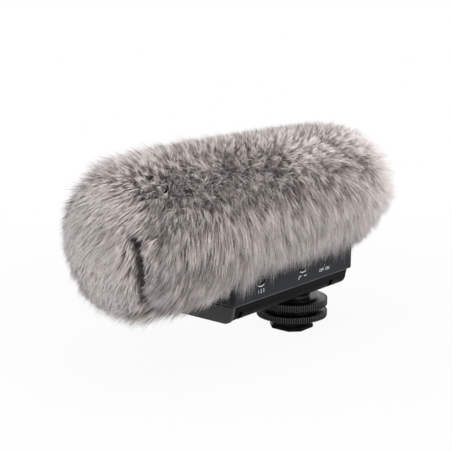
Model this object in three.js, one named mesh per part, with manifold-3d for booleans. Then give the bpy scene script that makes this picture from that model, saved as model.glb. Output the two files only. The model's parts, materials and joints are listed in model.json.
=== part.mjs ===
// A microphone for the top of a camera: a slotted barrel in a fur wind muff, on a small control
// case with a battery drawer, over a shoe foot with two knurled wheels.
// Millimetres, +Z up. The origin is the middle of the foot's underside, and the barrel points
// along -Y, away from the person who holds the camera. The dials face +X.
import * as THREE from 'three';
import { mergeVertices } from 'three/addons/utils/BufferGeometryUtils.js';
import Module from 'manifold-3d';

const wasm = await Module();
wasm.setup();

// Fits that several pieces share
const pressFit = 0.05;
const seatFit = 0.1;
const threadFit = 0.15;
const wheelFit = 0.18;
const seamFit = 0.2;
const slideFit = 0.3;
const looseFit = 0.5;
const overrun = 3;

// How finely round shapes are cut
const largeSides = 40;
const mediumSides = 28;
const smallSides = 12;
const arcSteps = 4;

// Shoe foot, the size that the camera's accessory shoe takes
const footWide = 18.6;
const footThick = 2;
const footCornerReach = 10;
const footEdge = 0.35;
const footFloor = 1;
const neckWide = 12.3;
const neckTop = 5.2;

// Threaded stud that stands in the foot and ends in the base
const studAcross = 6.35;
const studEntry = 4.7;
const studTip = 0.6;

// Plate that the lower wheel presses on the camera's rails
const railGap = 2.1;
const clampPlateThick = 1.7;

// Knurled wheels
const wheelReach = 17;
const wheelRibs = 96;
const ribDeep = 0.45;
const wheelCollarReach = 12.8;
const wheelCollarHigh = 0.75;
const wheelCollarEdge = 0.3;
const clampWheelThick = 2.9;
const clampWheelRecess = 1;
const wheelGap = 1.92;
const lockWheelThick = 3.4;

// Washer between the lock wheel and the base
const washerReach = 8.5;
const washerThick = 0.8;

// Boss under the tray and the brass insert in it
const bossReach = 9;
const bossHigh = 4.6;
const bossEdge = 0.6;
const insertReach = 5;
const insertCap = 0.9;

// Case, as wide as the battery drawer with a screw on each side asks for
const caseScrewEdge = 6.2;
const caseFront = -71.2;
const caseRear = 17.5;
const caseHigh = 14.6;
const caseWall = 1.8;
const caseFloorThick = 1.6;
const caseCornerRadius = 0.9;
const caseEdge = 0.3;

// Base tray, set in from the case above it
const trayHigh = 7.9;
const trayInset = 1.4;
const trayLean = 0.7;
const trayKneeDrop = 3.4;
const trayCornerRadius = 5;
const traySetBack = 0.8;
const trayRearInset = 1.5;
const trayEdge = 0.3;
const trayFloorThick = 1.9;
const grooveWide = 2.7;
const grooveDeep = 1.6;
const grooveHigh = 4.5;
const frontGrooveInset = 3.8;
const rearGrooveInset = 12.4;
const hollowWall = 3.9;
const hollowFrontWall = 5.2;
const hollowRearWall = 4;

// Screws that hold the tray to the case, and the posts that take them
const baseScrewWall = 1;
const baseScrewFrontInset = 10.2;
const baseScrewRearInset = 7.9;
const baseScrewHeadReach = 1.8;
const baseScrewHeadThick = 1.3;
const baseScrewRecess = 1.9;
const baseScrewReach = 1;
const baseScrewGrip = 3.6;
const screwSlotWide = 0.5;
const screwSlotDeep = 0.5;
const postReach = 2.6;
const postCap = 1.8;

// Coin cell of the battery
const cellReach = 10;
const cellThick = 3.2;
const cellCapReach = 8.8;
const cellCapThick = 0.35;

// Battery drawer
const drawerFaceThick = 1.9;
const drawerFaceInset = 1;
const drawerFaceLean = 0.6;
const drawerFaceEdge = 0.35;
const drawerHigh = 4.8;
const drawerFloorThick = 0.8;
const drawerWall = 2.4;
const drawerFrontWall = 2;
const drawerRearWall = 2.5;
const notchHalf = 2.4;

// Contact leaves of the battery
const leafThick = 0.35;
const leafHalf = 1.7;
const leafRoom = 2;
const upperLeafAhead = 7;
const upperLeafBehind = 11;
const leafBumpLong = 2;
const rearLeafHigh = 1.8;

// Lid of the case and its screws
const lidThick = 1.9;
const lidScrewInset = 3.5;
const lidScrewHeadReach = 1.7;
const lidScrewHeadThick = 1;
const lidScrewReach = 0.9;
const lidScrewLong = 6;
const leadHoleReach = 2.1;

// Dials in the right wall, their switches and the board that carries them
const dialRise = 10.1;
const dialReach = 3.1;
const dialThick = 1.1;
const dialInset = 0.35;
const dialShaftReach = 1.2;
const dialShaftShows = 1.65;
const dialSlotWide = 0.8;
const dialSlotDeep = 0.45;
const dialSlotShare = 0.7;
const patternDialInset = 17.7;
const lowCutDialInset = 48.7;
const powerDialInset = 65.7;
const switchHalf = 3.4;
const switchDeep = 3.7;
const boardThick = 1.6;
const boardTopGap = 1;
const boardFrontGap = 0.9;
const boardRearGap = 1;

// Output socket in the left wall
const socketInset = 25.5;
const socketBodyReach = 2.9;
const socketBodyLong = 10;
const socketSnoutReach = 2.6;
const socketSnoutLong = 1.6;
const socketBoreReach = 1.85;
const nutReach = 3.8;
const nutThick = 1.3;

// Barrel of the microphone
const barrelReach = 10.5;
const barrelWall = 1.2;
const barrelFront = -112;
const barrelRear = 30;
const portCount = 12;
const portPitch = 4.4;
const portLong = 2;
const portHalfHigh = 3;
const firstPortInset = 8;
const capPlugLong = 4;
const grilleLong = 3.6;
const grilleSlots = 3;
const grilleSlotWide = 1.2;
const grilleSlotPitch = 4;
const grilleSlotShare = 0.7;
const tailLong = 3;
const capEdge = 1.4;

// Capsules, what holds them, and their lead
const carrierY = -45;
const carrierLong = 14;
const midCapsuleReach = 7.2;
const midCapsuleLong = 8;
const sideCapsuleReach = 4.6;
const sideCapsuleLong = 12;
const leadReach = 0.9;
const leadSteps = 24;
const leadArcSteps = 2;

// Rings and cradles that carry the barrel
const ringThick = 1.7;
const ringLong = 8;
const frontRingY = -36;
const rearRingY = -6;
const cradleThick = 2.8;
const cradleLegHalf = 8.5;

// Foam cover over the front of the barrel
const foamReach = 16.75;
const foamCap = 7.1;
const foamRearGap = 1.5;
const foamNose = 9;
const foamNoseSteps = 5;

// Fur muff
const muffReach = 35;
const muffFrontTaper = 2.2;
const muffRearTaper = 3;
const muffFrontRound = 16;
const muffRearRound = 49;
const muffFrontBlunt = 2.4;
const muffRearBlunt = 3.2;
const muffEndSteps = 9;
const muffEndSpread = 1.7;
const muffMiddleSteps = 6;
const muffMiddleShare = 0.5;
const cavityWall = 5;
const cavityFrontGap = 1.5;
const cavityRearGap = 4;
const cavityRound = 8;
const cavityRoundShare = 0.3;
const muffTail = 18.5;
const hemGap = 0.6;

// Heights from the foot up
const studReach = studAcross / 2;
const threadReach = studReach + threadFit;
const clampPlateLow = footThick + railGap;
const clampPlateTop = clampPlateLow + clampPlateThick;
const clampWheelLow = clampPlateTop + wheelFit;
const lockWheelLow = clampWheelLow + clampWheelThick + wheelCollarHigh + wheelGap;
const washerLow = lockWheelLow + lockWheelThick + wheelCollarHigh + seatFit;
const bossLow = washerLow + washerThick + seatFit;
const trayBottom = bossLow + bossHigh;
const trayTop = trayBottom + trayHigh;
const trayKneeHeight = trayTop - trayKneeDrop;
const trayFloorTop = trayBottom + trayFloorThick;
const studTop = trayBottom + studEntry;
const insertTop = studTop + insertCap;
const caseBottom = trayTop + seamFit;
const caseFloorTop = caseBottom + caseFloorThick;
const caseTop = caseBottom + caseHigh;
const baseScrewTop = caseFloorTop + baseScrewGrip;
const dialHeight = caseBottom + dialRise;
const boardTop = caseTop - boardTopGap;
const socketHeight = caseFloorTop + seatFit + socketBodyReach;
const hemHeight = socketHeight + nutReach + hemGap;
const lidLow = caseTop + pressFit;
const lidTop = lidLow + lidThick;
const axisHeight = lidTop + looseFit + foamReach;

// Widths from the coin cell outwards
const pocketReach = cellReach + slideFit;
const drawerHalf = pocketReach + drawerWall;
const drawerBay = drawerHalf + slideFit;
const baseScrewHalf = drawerBay + baseScrewHeadReach + baseScrewWall;
const caseHalf = baseScrewHalf + caseScrewEdge;

// Places in the base and its drawer
const trayTopHalf = caseHalf - trayInset;
const trayKneeHalf = trayTopHalf - trayLean;
const drawerFaceTopHalf = caseHalf - drawerFaceInset;
const drawerFaceKneeHalf = drawerFaceTopHalf - drawerFaceLean;
const drawerFaceRear = caseFront + drawerFaceThick;
const drawerFaceBottom = trayBottom - seamFit;
const drawerFaceTop = trayTop - seatFit;
const drawerLow = trayFloorTop + slideFit;
const drawerTop = drawerLow + drawerHigh;
const cellY = drawerFaceRear + drawerFrontWall + pocketReach;
const drawerRear = cellY + pocketReach + drawerRearWall;
const drawerBayRear = drawerRear + leafRoom;
const cellLow = drawerLow + drawerFloorThick + pressFit;
const cellTop = cellLow + cellThick;
const trayFront = drawerFaceRear + traySetBack;
const trayRear = caseRear - trayRearInset;
const frontGrooveY = trayFront + frontGrooveInset;
const rearGrooveY = trayRear - rearGrooveInset;
const hollowHalf = trayKneeHalf - hollowWall;
const hollowFront = drawerBayRear + hollowFrontWall;
const hollowRear = -bossReach - hollowRearWall;

// Places in the case
const baseScrewFront = caseFront + baseScrewFrontInset;
const baseScrewRear = caseRear - baseScrewRearInset;
const lidScrewHalf = caseHalf - lidScrewInset;
const lidScrewFront = caseFront + lidScrewInset;
const lidScrewRear = caseRear - lidScrewInset;
const dialFace = caseHalf - dialInset;
const dialBack = dialFace - dialThick;
const switchFace = dialBack - dialShaftShows;
const boardOuter = switchFace - switchDeep;
const boardInner = boardOuter - boardThick;
const boardFront = baseScrewFront + postReach + boardFrontGap;
const boardRear = baseScrewRear - postReach - boardRearGap;
const socketY = caseRear - socketInset;

// Places round the barrel
const firstPortY = barrelFront + firstPortInset;
const barrelBoreReach = barrelReach - barrelWall;
const plugReach = barrelBoreReach - pressFit;
const grilleFront = barrelFront - grilleLong;
const carrierFront = carrierY - carrierLong / 2;
const carrierRear = carrierY + carrierLong / 2;
const leadY = (frontRingY + rearRingY) / 2;
const ringInner = barrelReach + seatFit;
const ringOuter = ringInner + ringThick;
const cradleInner = ringOuter + seatFit;
const cradleOuter = cradleInner + cradleThick;
const foamBoreFront = grilleFront - slideFit;
const foamFront = foamBoreFront - foamCap;
const foamRear = frontRingY - ringLong / 2 - foamRearGap;
const cavityFront = foamFront - cavityFrontGap;
const cavityRear = barrelRear + tailLong + cavityRearGap;
const cavityReach = Math.max(foamReach, cradleOuter) + looseFit;
const muffFront = cavityFront - cavityWall;
const muffRear = cavityRear + muffTail;
const slotHalf = caseHalf + looseFit;
const slotTop = lidTop + lidScrewHeadThick + looseFit;

// Finishes of the real object
function finish(colour, roughness, metalness) {
  return new THREE.MeshStandardMaterial({ color: colour, roughness, metalness });
}
const blackPaint = finish(0x2a2c30, 0.5, 0.2);
const blackMetal = finish(0x18191b, 0.35, 0.8);
const greyPaint = finish(0x47474b, 0.6, 0.1);
const blackPlastic = finish(0x1c1c1e, 0.6, 0);
const rubber = finish(0x151515, 0.9, 0);
const brass = finish(0xb08d4a, 0.35, 1);
const steel = finish(0xa8a8ac, 0.3, 1);
const nylon = finish(0x1d1d1e, 0.6, 0);
const boardGreen = finish(0x1f4a33, 0.5, 0);
const foam = finish(0x222224, 1, 0);
const fur = finish(0xa89d98, 1, 0);

// Solids: every shape becomes a closed body that can be joined and cut
function solidOf(geometry) {
  const plain = geometry.clone();
  plain.deleteAttribute('normal');
  plain.deleteAttribute('uv');
  const merged = mergeVertices(plain);
  const index = merged.index.array;
  const kept = [];
  for (let i = 0; i < index.length; i += 3) {
    const [a, b, c] = [index[i], index[i + 1], index[i + 2]];
    if (a !== b && b !== c && c !== a) {
      kept.push(a, b, c);
    }
  }
  const vertProperties = new Float32Array(merged.attributes.position.array);
  const triVerts = new Uint32Array(kept);
  return new wasm.Manifold(new wasm.Mesh({ numProp: 3, vertProperties, triVerts }));
}

function geometryOf(solid) {
  const mesh = solid.getMesh();
  const geometry = new THREE.BufferGeometry();
  geometry.setAttribute('position', new THREE.BufferAttribute(mesh.vertProperties, 3));
  geometry.setIndex(new THREE.BufferAttribute(mesh.triVerts, 1));
  geometry.computeVertexNormals();
  return geometry;
}

function join(first, ...others) {
  return others.reduce((whole, other) => whole.add(other), first);
}

function cut(first, ...others) {
  return others.reduce((whole, other) => whole.subtract(other), first);
}

// The turn that lays a shape drawn in X and Y, with its depth along Z, along the barrel
const layAlongY = new THREE.Matrix4().makeBasis(
  new THREE.Vector3(1, 0, 0),
  new THREE.Vector3(0, 0, 1),
  new THREE.Vector3(0, -1, 0),
);

function box(lowX, highX, lowY, highY, lowZ, highZ) {
  const geometry = new THREE.BoxGeometry(highX - lowX, highY - lowY, highZ - lowZ);
  geometry.translate((lowX + highX) / 2, (lowY + highY) / 2, (lowZ + highZ) / 2);
  return solidOf(geometry);
}

// An outline pushed up from one height to another, with its edges broken by a small bevel
function slab(outline, low, high, edge = 0) {
  const geometry = new THREE.ExtrudeGeometry(outline, {
    depth: high - low - 2 * edge,
    bevelEnabled: edge > 0,
    bevelThickness: edge,
    bevelSize: edge,
    bevelOffset: -edge,
    bevelSegments: 1,
    curveSegments: arcSteps,
  });
  geometry.translate(0, 0, low + edge);
  return geometry;
}

function slabAlongZ(outline, low, high, edge = 0) {
  return solidOf(slab(outline, low, high, edge));
}

function slabAlongY(outline, low, high, edge = 0) {
  return solidOf(slab(outline, -high, -low, edge).applyMatrix4(layAlongY));
}

// A turned shape: its profile is a list of [distance from the axis, place along the axis]
function turned(profile, sides) {
  const points = profile.map(([reach, place]) => new THREE.Vector2(reach, place));
  return new THREE.LatheGeometry(points, sides);
}

function turnedAlongZ(profile, sides, x = 0, y = 0) {
  return solidOf(turned(profile, sides).rotateX(Math.PI / 2).translate(x, y, 0));
}

function turnedAlongY(profile, sides, x = 0, z = axisHeight) {
  return solidOf(turned(profile, sides).translate(x, 0, z));
}

function rodProfile(reach, low, high) {
  return [[0, low], [reach, low], [reach, high], [0, high]];
}

function rodAlongZ(reach, low, high, sides, x = 0, y = 0) {
  return turnedAlongZ(rodProfile(reach, low, high), sides, x, y);
}

function rodAlongY(reach, low, high, sides, x = 0, z = axisHeight) {
  return turnedAlongY(rodProfile(reach, low, high), sides, x, z);
}

function rodAlongX(reach, low, high, sides, y, z) {
  const geometry = turned(rodProfile(reach, low, high), sides);
  return solidOf(geometry.rotateZ(-Math.PI / 2).translate(0, y, z));
}

// A profile that closes on itself, for rings and tubes
function ringProfile(inner, outer, low, high) {
  return [[inner, low], [outer, low], [outer, high], [inner, high], [inner, low]];
}

// Assembly
const microphone = new THREE.Group();

function addPiece(name, solid, material) {
  const mesh = new THREE.Mesh(geometryOf(solid), material);
  mesh.name = name;
  microphone.add(mesh);
}

// Shoe foot and stud
function cutSquare(half, cornerReach) {
  const flat = cornerReach * Math.SQRT2 - half;
  const outline = new THREE.Shape();
  outline.moveTo(half, -flat);
  outline.lineTo(half, flat);
  outline.lineTo(flat, half);
  outline.lineTo(-flat, half);
  outline.lineTo(-half, flat);
  outline.lineTo(-half, -flat);
  outline.lineTo(-flat, -half);
  outline.lineTo(flat, -half);
  outline.closePath();
  return outline;
}

function makeShoe() {
  const footOutline = cutSquare(footWide / 2, footCornerReach);
  const neckHalf = neckWide / 2;
  const foot = cut(
    join(
      slabAlongZ(footOutline, 0, footThick, footEdge),
      box(-neckHalf, neckHalf, -neckHalf, neckHalf, footThick / 2, neckTop),
    ),
    rodAlongZ(studReach + pressFit, footFloor, neckTop + overrun, smallSides),
  );
  addPiece('shoe_foot', foot, blackMetal);

  const stud = turnedAlongZ(
    [
      [0, footFloor],
      [studReach, footFloor],
      [studReach, studTop - studTip],
      [studReach - studTip, studTop],
      [0, studTop],
    ],
    smallSides,
  );
  addPiece('shoe_stud', stud, steel);

  const guideHalf = neckHalf + slideFit;
  const plate = cut(
    slabAlongZ(footOutline, clampPlateLow, clampPlateTop, footEdge),
    box(-guideHalf, guideHalf, -guideHalf, guideHalf, 0, clampPlateTop + overrun),
  );
  addPiece('clamp_plate', plate, blackMetal);
}

// Knurled wheels
function ribbedOutline() {
  const outline = new THREE.Shape();
  const corners = 2 * wheelRibs;
  for (let i = 0; i < corners; i += 1) {
    const reach = i % 2 === 0 ? wheelReach : wheelReach - ribDeep;
    const angle = (i / corners) * 2 * Math.PI;
    const [x, y] = [reach * Math.cos(angle), reach * Math.sin(angle)];
    if (i === 0) {
      outline.moveTo(x, y);
    } else {
      outline.lineTo(x, y);
    }
  }
  outline.closePath();
  return outline;
}

function makeWheel(low, thick) {
  const top = low + thick;
  const collarTop = top + wheelCollarHigh;
  const collar = turnedAlongZ(
    [
      [0, low + thick / 2],
      [wheelCollarReach, low + thick / 2],
      [wheelCollarReach, collarTop - wheelCollarEdge],
      [wheelCollarReach - wheelCollarEdge, collarTop],
      [0, collarTop],
    ],
    largeSides,
  );
  const bore = rodAlongZ(threadReach, low - overrun, collarTop + overrun, smallSides);
  return cut(join(slabAlongZ(ribbedOutline(), low, top), collar), bore);
}

function makeWheels() {
  const recessReach = neckWide * Math.SQRT1_2 + looseFit;
  const recessTop = clampWheelLow + clampWheelRecess;
  const recess = rodAlongZ(recessReach, clampWheelLow - overrun, recessTop, mediumSides);
  addPiece('clamp_wheel', cut(makeWheel(clampWheelLow, clampWheelThick), recess), blackMetal);
  addPiece('lock_wheel', makeWheel(lockWheelLow, lockWheelThick), blackMetal);

  const washer = ringProfile(studReach + slideFit, washerReach, washerLow, washerLow + washerThick);
  addPiece('lock_washer', turnedAlongZ(washer, mediumSides), nylon);
}

// Base tray: a shallow trough with round lower corners, drawn across the barrel
function troughOutline(topHalf, kneeHalf, cornerRadius, bottom, kneeHeight, top) {
  const cornerX = kneeHalf - cornerRadius;
  const cornerZ = bottom + cornerRadius;
  const outline = new THREE.Shape();
  outline.moveTo(-topHalf, top);
  outline.lineTo(-kneeHalf, Math.max(kneeHeight, cornerZ));
  outline.absarc(-cornerX, cornerZ, cornerRadius, Math.PI, 1.5 * Math.PI, false);
  outline.absarc(cornerX, cornerZ, cornerRadius, -0.5 * Math.PI, 0, false);
  outline.lineTo(topHalf, top);
  outline.closePath();
  return outline;
}

function trayGroove(middleY) {
  const [low, high] = [middleY - grooveWide / 2, middleY + grooveWide / 2];
  const wide = trayTopHalf + overrun;
  const outer = box(-wide, wide, low, high, trayBottom - overrun, trayBottom + grooveHigh);
  const inner = troughOutline(
    trayTopHalf - grooveDeep,
    trayKneeHalf - grooveDeep,
    trayCornerRadius - grooveDeep,
    trayBottom + grooveDeep,
    trayKneeHeight,
    trayTop,
  );
  return cut(outer, slabAlongY(inner, low - overrun, high + overrun));
}

const cornerNames = ['front_left', 'front_right', 'rear_left', 'rear_right'];

const baseScrewPlaces = [
  [-baseScrewHalf, baseScrewFront],
  [baseScrewHalf, baseScrewFront],
  [-baseScrewHalf, baseScrewRear],
  [baseScrewHalf, baseScrewRear],
];

function makeBase() {
  const outline = troughOutline(
    trayTopHalf, trayKneeHalf, trayCornerRadius, trayBottom, trayKneeHeight, trayTop,
  );
  const boss = turnedAlongZ(
    [
      [0, bossLow],
      [bossReach - bossEdge, bossLow],
      [bossReach, bossLow + bossEdge],
      [bossReach, trayFloorTop],
      [0, trayFloorTop],
    ],
    mediumSides,
  );
  const insertHole = rodAlongZ(insertReach + pressFit, bossLow - overrun, insertTop, mediumSides);
  const openTop = trayTop + overrun;
  const bay = box(-drawerBay, drawerBay, trayFront - overrun, drawerBayRear, trayFloorTop, openTop);
  const hollow = box(-hollowHalf, hollowHalf, hollowFront, hollowRear, trayFloorTop, openTop);
  let tray = join(slabAlongY(outline, trayFront, trayRear, trayEdge), boss);
  tray = cut(tray, insertHole, bay, hollow, trayGroove(frontGrooveY), trayGroove(rearGrooveY));
  for (const [x, y] of baseScrewPlaces) {
    const shaft = rodAlongZ(baseScrewReach + seatFit, trayBottom, openTop, smallSides, x, y);
    const recessTop = trayBottom + baseScrewRecess;
    const recess = rodAlongZ(
      baseScrewHeadReach + seamFit, trayBottom - overrun, recessTop, smallSides, x, y,
    );
    tray = cut(tray, shaft, recess);
  }
  addPiece('base_tray', tray, blackPaint);

  const insert = ringProfile(threadReach, insertReach, bossLow + seamFit, insertTop - seatFit);
  addPiece('stud_insert', turnedAlongZ(insert, mediumSides), brass);

  baseScrewPlaces.forEach(([x, y], i) => {
    const headTop = trayBottom + baseScrewRecess - pressFit;
    const headLow = headTop - baseScrewHeadThick;
    const shaftLow = headTop - baseScrewHeadThick / 2;
    const screw = cut(
      join(
        rodAlongZ(baseScrewHeadReach, headLow, headTop, smallSides, x, y),
        rodAlongZ(baseScrewReach, shaftLow, baseScrewTop, smallSides, x, y),
      ),
      crossSlot(x, y, headLow - overrun, headLow + screwSlotDeep, baseScrewHeadReach / 2),
    );
    addPiece(`base_screw_${cornerNames[i]}`, screw, steel);
  });
}

// The cross in a screw's head
function crossSlot(x, y, low, high, reach) {
  const half = screwSlotWide / 2;
  return join(
    box(x - reach, x + reach, y - half, y + half, low, high),
    box(x - half, x + half, y - reach, y + reach, low, high),
  );
}

// Battery drawer
function makeDrawer() {
  const faceOutline = troughOutline(
    drawerFaceTopHalf,
    drawerFaceKneeHalf,
    trayCornerRadius,
    drawerFaceBottom,
    trayKneeHeight,
    drawerFaceTop,
  );
  const faceMiddle = drawerFaceRear - drawerFaceThick / 2;
  const floorTop = drawerLow + drawerFloorThick;
  const openTop = drawerTop + overrun;
  const cellPocket = rodAlongZ(pocketReach, floorTop, openTop, largeSides, 0, cellY);
  const notch = box(-notchHalf, notchHalf, cellY, drawerRear + overrun, floorTop, openTop);
  const drawer = join(
    slabAlongY(faceOutline, caseFront, drawerFaceRear, drawerFaceEdge),
    cut(
      box(-drawerHalf, drawerHalf, faceMiddle, drawerRear, drawerLow, drawerTop),
      cellPocket,
      notch,
    ),
  );
  addPiece('battery_drawer', drawer, greyPaint);

  const cell = turnedAlongZ(
    [
      [0, cellLow],
      [cellCapReach, cellLow],
      [cellCapReach, cellLow + cellCapThick],
      [cellReach, cellLow + 2 * cellCapThick],
      [cellReach, cellTop],
      [0, cellTop],
    ],
    largeSides, 0, cellY,
  );
  addPiece('coin_cell', cell, steel);

  const leafTop = caseBottom - seatFit;
  const bumpTop = leafTop - leafThick / 2;
  const [bumpFront, bumpRear] = [cellY - leafBumpLong / 2, cellY + leafBumpLong / 2];
  const [leafFront, leafRear] = [cellY - upperLeafAhead, cellY + upperLeafBehind];
  const upperLeaf = join(
    box(-leafHalf, leafHalf, leafFront, leafRear, leafTop - leafThick, leafTop),
    box(-leafHalf, leafHalf, bumpFront, bumpRear, cellTop + slideFit, bumpTop),
  );
  addPiece('upper_contact', upperLeaf, brass);

  const leafLow = cellLow + cellCapThick * 2;
  const bayWall = drawerBayRear - seatFit;
  const rearLeaf = join(
    box(-leafHalf, leafHalf, bayWall - leafThick, bayWall, leafLow, trayTop - seatFit),
    box(-leafHalf, leafHalf, cellY + pocketReach, bayWall, leafLow, leafLow + rearLeafHigh),
  );
  addPiece('rear_contact', rearLeaf, brass);
}

// Case and lid
function roundedRectangle(half, front, rear, radius) {
  const outline = new THREE.Shape();
  outline.absarc(half - radius, rear - radius, radius, 0, 0.5 * Math.PI, false);
  outline.absarc(-half + radius, rear - radius, radius, 0.5 * Math.PI, Math.PI, false);
  outline.absarc(-half + radius, front + radius, radius, Math.PI, 1.5 * Math.PI, false);
  outline.absarc(half - radius, front + radius, radius, 1.5 * Math.PI, 2 * Math.PI, false);
  outline.closePath();
  return outline;
}

const dials = [
  { name: 'pattern', y: caseFront + patternDialInset },
  { name: 'low_cut', y: caseFront + lowCutDialInset },
  { name: 'power', y: caseFront + powerDialInset },
];

const lidScrewPlaces = [
  [-lidScrewHalf, lidScrewFront],
  [lidScrewHalf, lidScrewFront],
  [-lidScrewHalf, lidScrewRear],
  [lidScrewHalf, lidScrewRear],
];

function makeCase() {
  const outline = roundedRectangle(caseHalf, caseFront, caseRear, caseCornerRadius);
  const inner = caseHalf - caseWall;
  let shell = cut(
    slabAlongZ(outline, caseBottom, caseTop, caseEdge),
    box(-inner, inner, caseFront + caseWall, caseRear - caseWall, caseFloorTop, caseTop + overrun),
  );
  const postLow = caseFloorTop - caseFloorThick / 2;
  for (const [x, y] of baseScrewPlaces) {
    const post = rodAlongZ(postReach, postLow, baseScrewTop + postCap, smallSides, x, y);
    const holeTop = baseScrewTop + seatFit;
    const hole = rodAlongZ(baseScrewReach + seatFit, caseBottom - overrun, holeTop, smallSides, x, y);
    shell = cut(join(shell, post), hole);
  }
  for (const [x, y] of lidScrewPlaces) {
    const post = rodAlongZ(postReach, postLow, caseTop, smallSides, x, y);
    const holeLow = caseTop - lidScrewLong;
    const hole = rodAlongZ(lidScrewReach + seatFit, holeLow, caseTop + overrun, smallSides, x, y);
    shell = cut(join(shell, post), hole);
  }
  for (const dial of dials) {
    const windowReach = dialReach + slideFit;
    const [windowLow, windowHigh] = [inner - overrun, caseHalf + overrun];
    const window = rodAlongX(windowReach, windowLow, windowHigh, mediumSides, dial.y, dialHeight);
    shell = cut(shell, window);
  }
  const snoutHole = rodAlongX(
    socketSnoutReach + seatFit,
    -caseHalf - overrun,
    -inner + overrun,
    mediumSides,
    socketY,
    socketHeight,
  );
  addPiece('case_shell', cut(shell, snoutHole), blackPaint);

  const leadHole = rodAlongZ(leadHoleReach, lidLow - overrun, lidTop + overrun, smallSides, 0, leadY);
  let lid = cut(slabAlongZ(outline, lidLow, lidTop, caseEdge), leadHole);
  for (const [x, y] of lidScrewPlaces) {
    const hole = rodAlongZ(lidScrewReach + seatFit, lidLow - overrun, lidTop + overrun, smallSides, x, y);
    lid = cut(lid, hole);
  }
  addPiece('case_lid', lid, blackPaint);

  lidScrewPlaces.forEach(([x, y], i) => {
    const headLow = lidTop + pressFit;
    const headTop = headLow + lidScrewHeadThick;
    const tip = caseTop - lidScrewLong + looseFit;
    const screw = cut(
      join(
        rodAlongZ(lidScrewHeadReach, headLow, headTop, smallSides, x, y),
        rodAlongZ(lidScrewReach, tip, headLow + lidScrewHeadThick / 2, smallSides, x, y),
      ),
      crossSlot(x, y, headTop - screwSlotDeep, headTop + overrun, lidScrewHeadReach / 2),
    );
    addPiece(`lid_screw_${cornerNames[i]}`, screw, steel);
  });
}

// Controls and output socket
function makeControls() {
  const board = box(boardInner, boardOuter, boardFront, boardRear, caseFloorTop + pressFit, boardTop);
  addPiece('control_board', board, boardGreen);
  const [shaftInner, shaftOuter] = [switchFace + seatFit, dialFace - dialThick / 2];
  const slotHalfWide = dialSlotWide / 2;
  const slotHalfLong = dialReach * dialSlotShare;
  for (const dial of dials) {
    const body = box(
      boardOuter + pressFit,
      switchFace,
      dial.y - switchHalf,
      dial.y + switchHalf,
      dialHeight - switchHalf,
      dialHeight + switchHalf,
    );
    addPiece(`${dial.name}_switch`, body, blackPlastic);

    const knob = cut(
      join(
        rodAlongX(dialReach, dialBack, dialFace, mediumSides, dial.y, dialHeight),
        rodAlongX(dialShaftReach, shaftInner, shaftOuter, smallSides, dial.y, dialHeight),
      ),
      box(
        dialFace - dialSlotDeep,
        dialFace + overrun,
        dial.y - slotHalfWide,
        dial.y + slotHalfWide,
        dialHeight - slotHalfLong,
        dialHeight + slotHalfLong,
      ),
    );
    addPiece(`${dial.name}_dial`, knob, blackPlastic);
  }

  const bodyOuter = -caseHalf + caseWall + pressFit;
  const bodyInner = bodyOuter + socketBodyLong;
  const boreEnd = bodyInner - caseWall;
  const snoutEnd = -caseHalf - socketSnoutLong;
  const socket = cut(
    join(
      rodAlongX(socketBodyReach, bodyOuter, bodyInner, mediumSides, socketY, socketHeight),
      rodAlongX(socketSnoutReach, snoutEnd, bodyOuter + overrun, mediumSides, socketY, socketHeight),
    ),
    rodAlongX(socketBoreReach, snoutEnd - overrun, boreEnd, mediumSides, socketY, socketHeight),
  );
  addPiece('output_socket', socket, blackPlastic);

  const nutOuter = -caseHalf - pressFit;
  const nut = cut(
    rodAlongX(nutReach, nutOuter - nutThick, nutOuter, mediumSides, socketY, socketHeight),
    rodAlongX(
      socketSnoutReach + seatFit,
      nutOuter - nutThick - overrun,
      nutOuter + overrun,
      mediumSides,
      socketY,
      socketHeight,
    ),
  );
  addPiece('socket_nut', nut, blackMetal);
}

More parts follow.
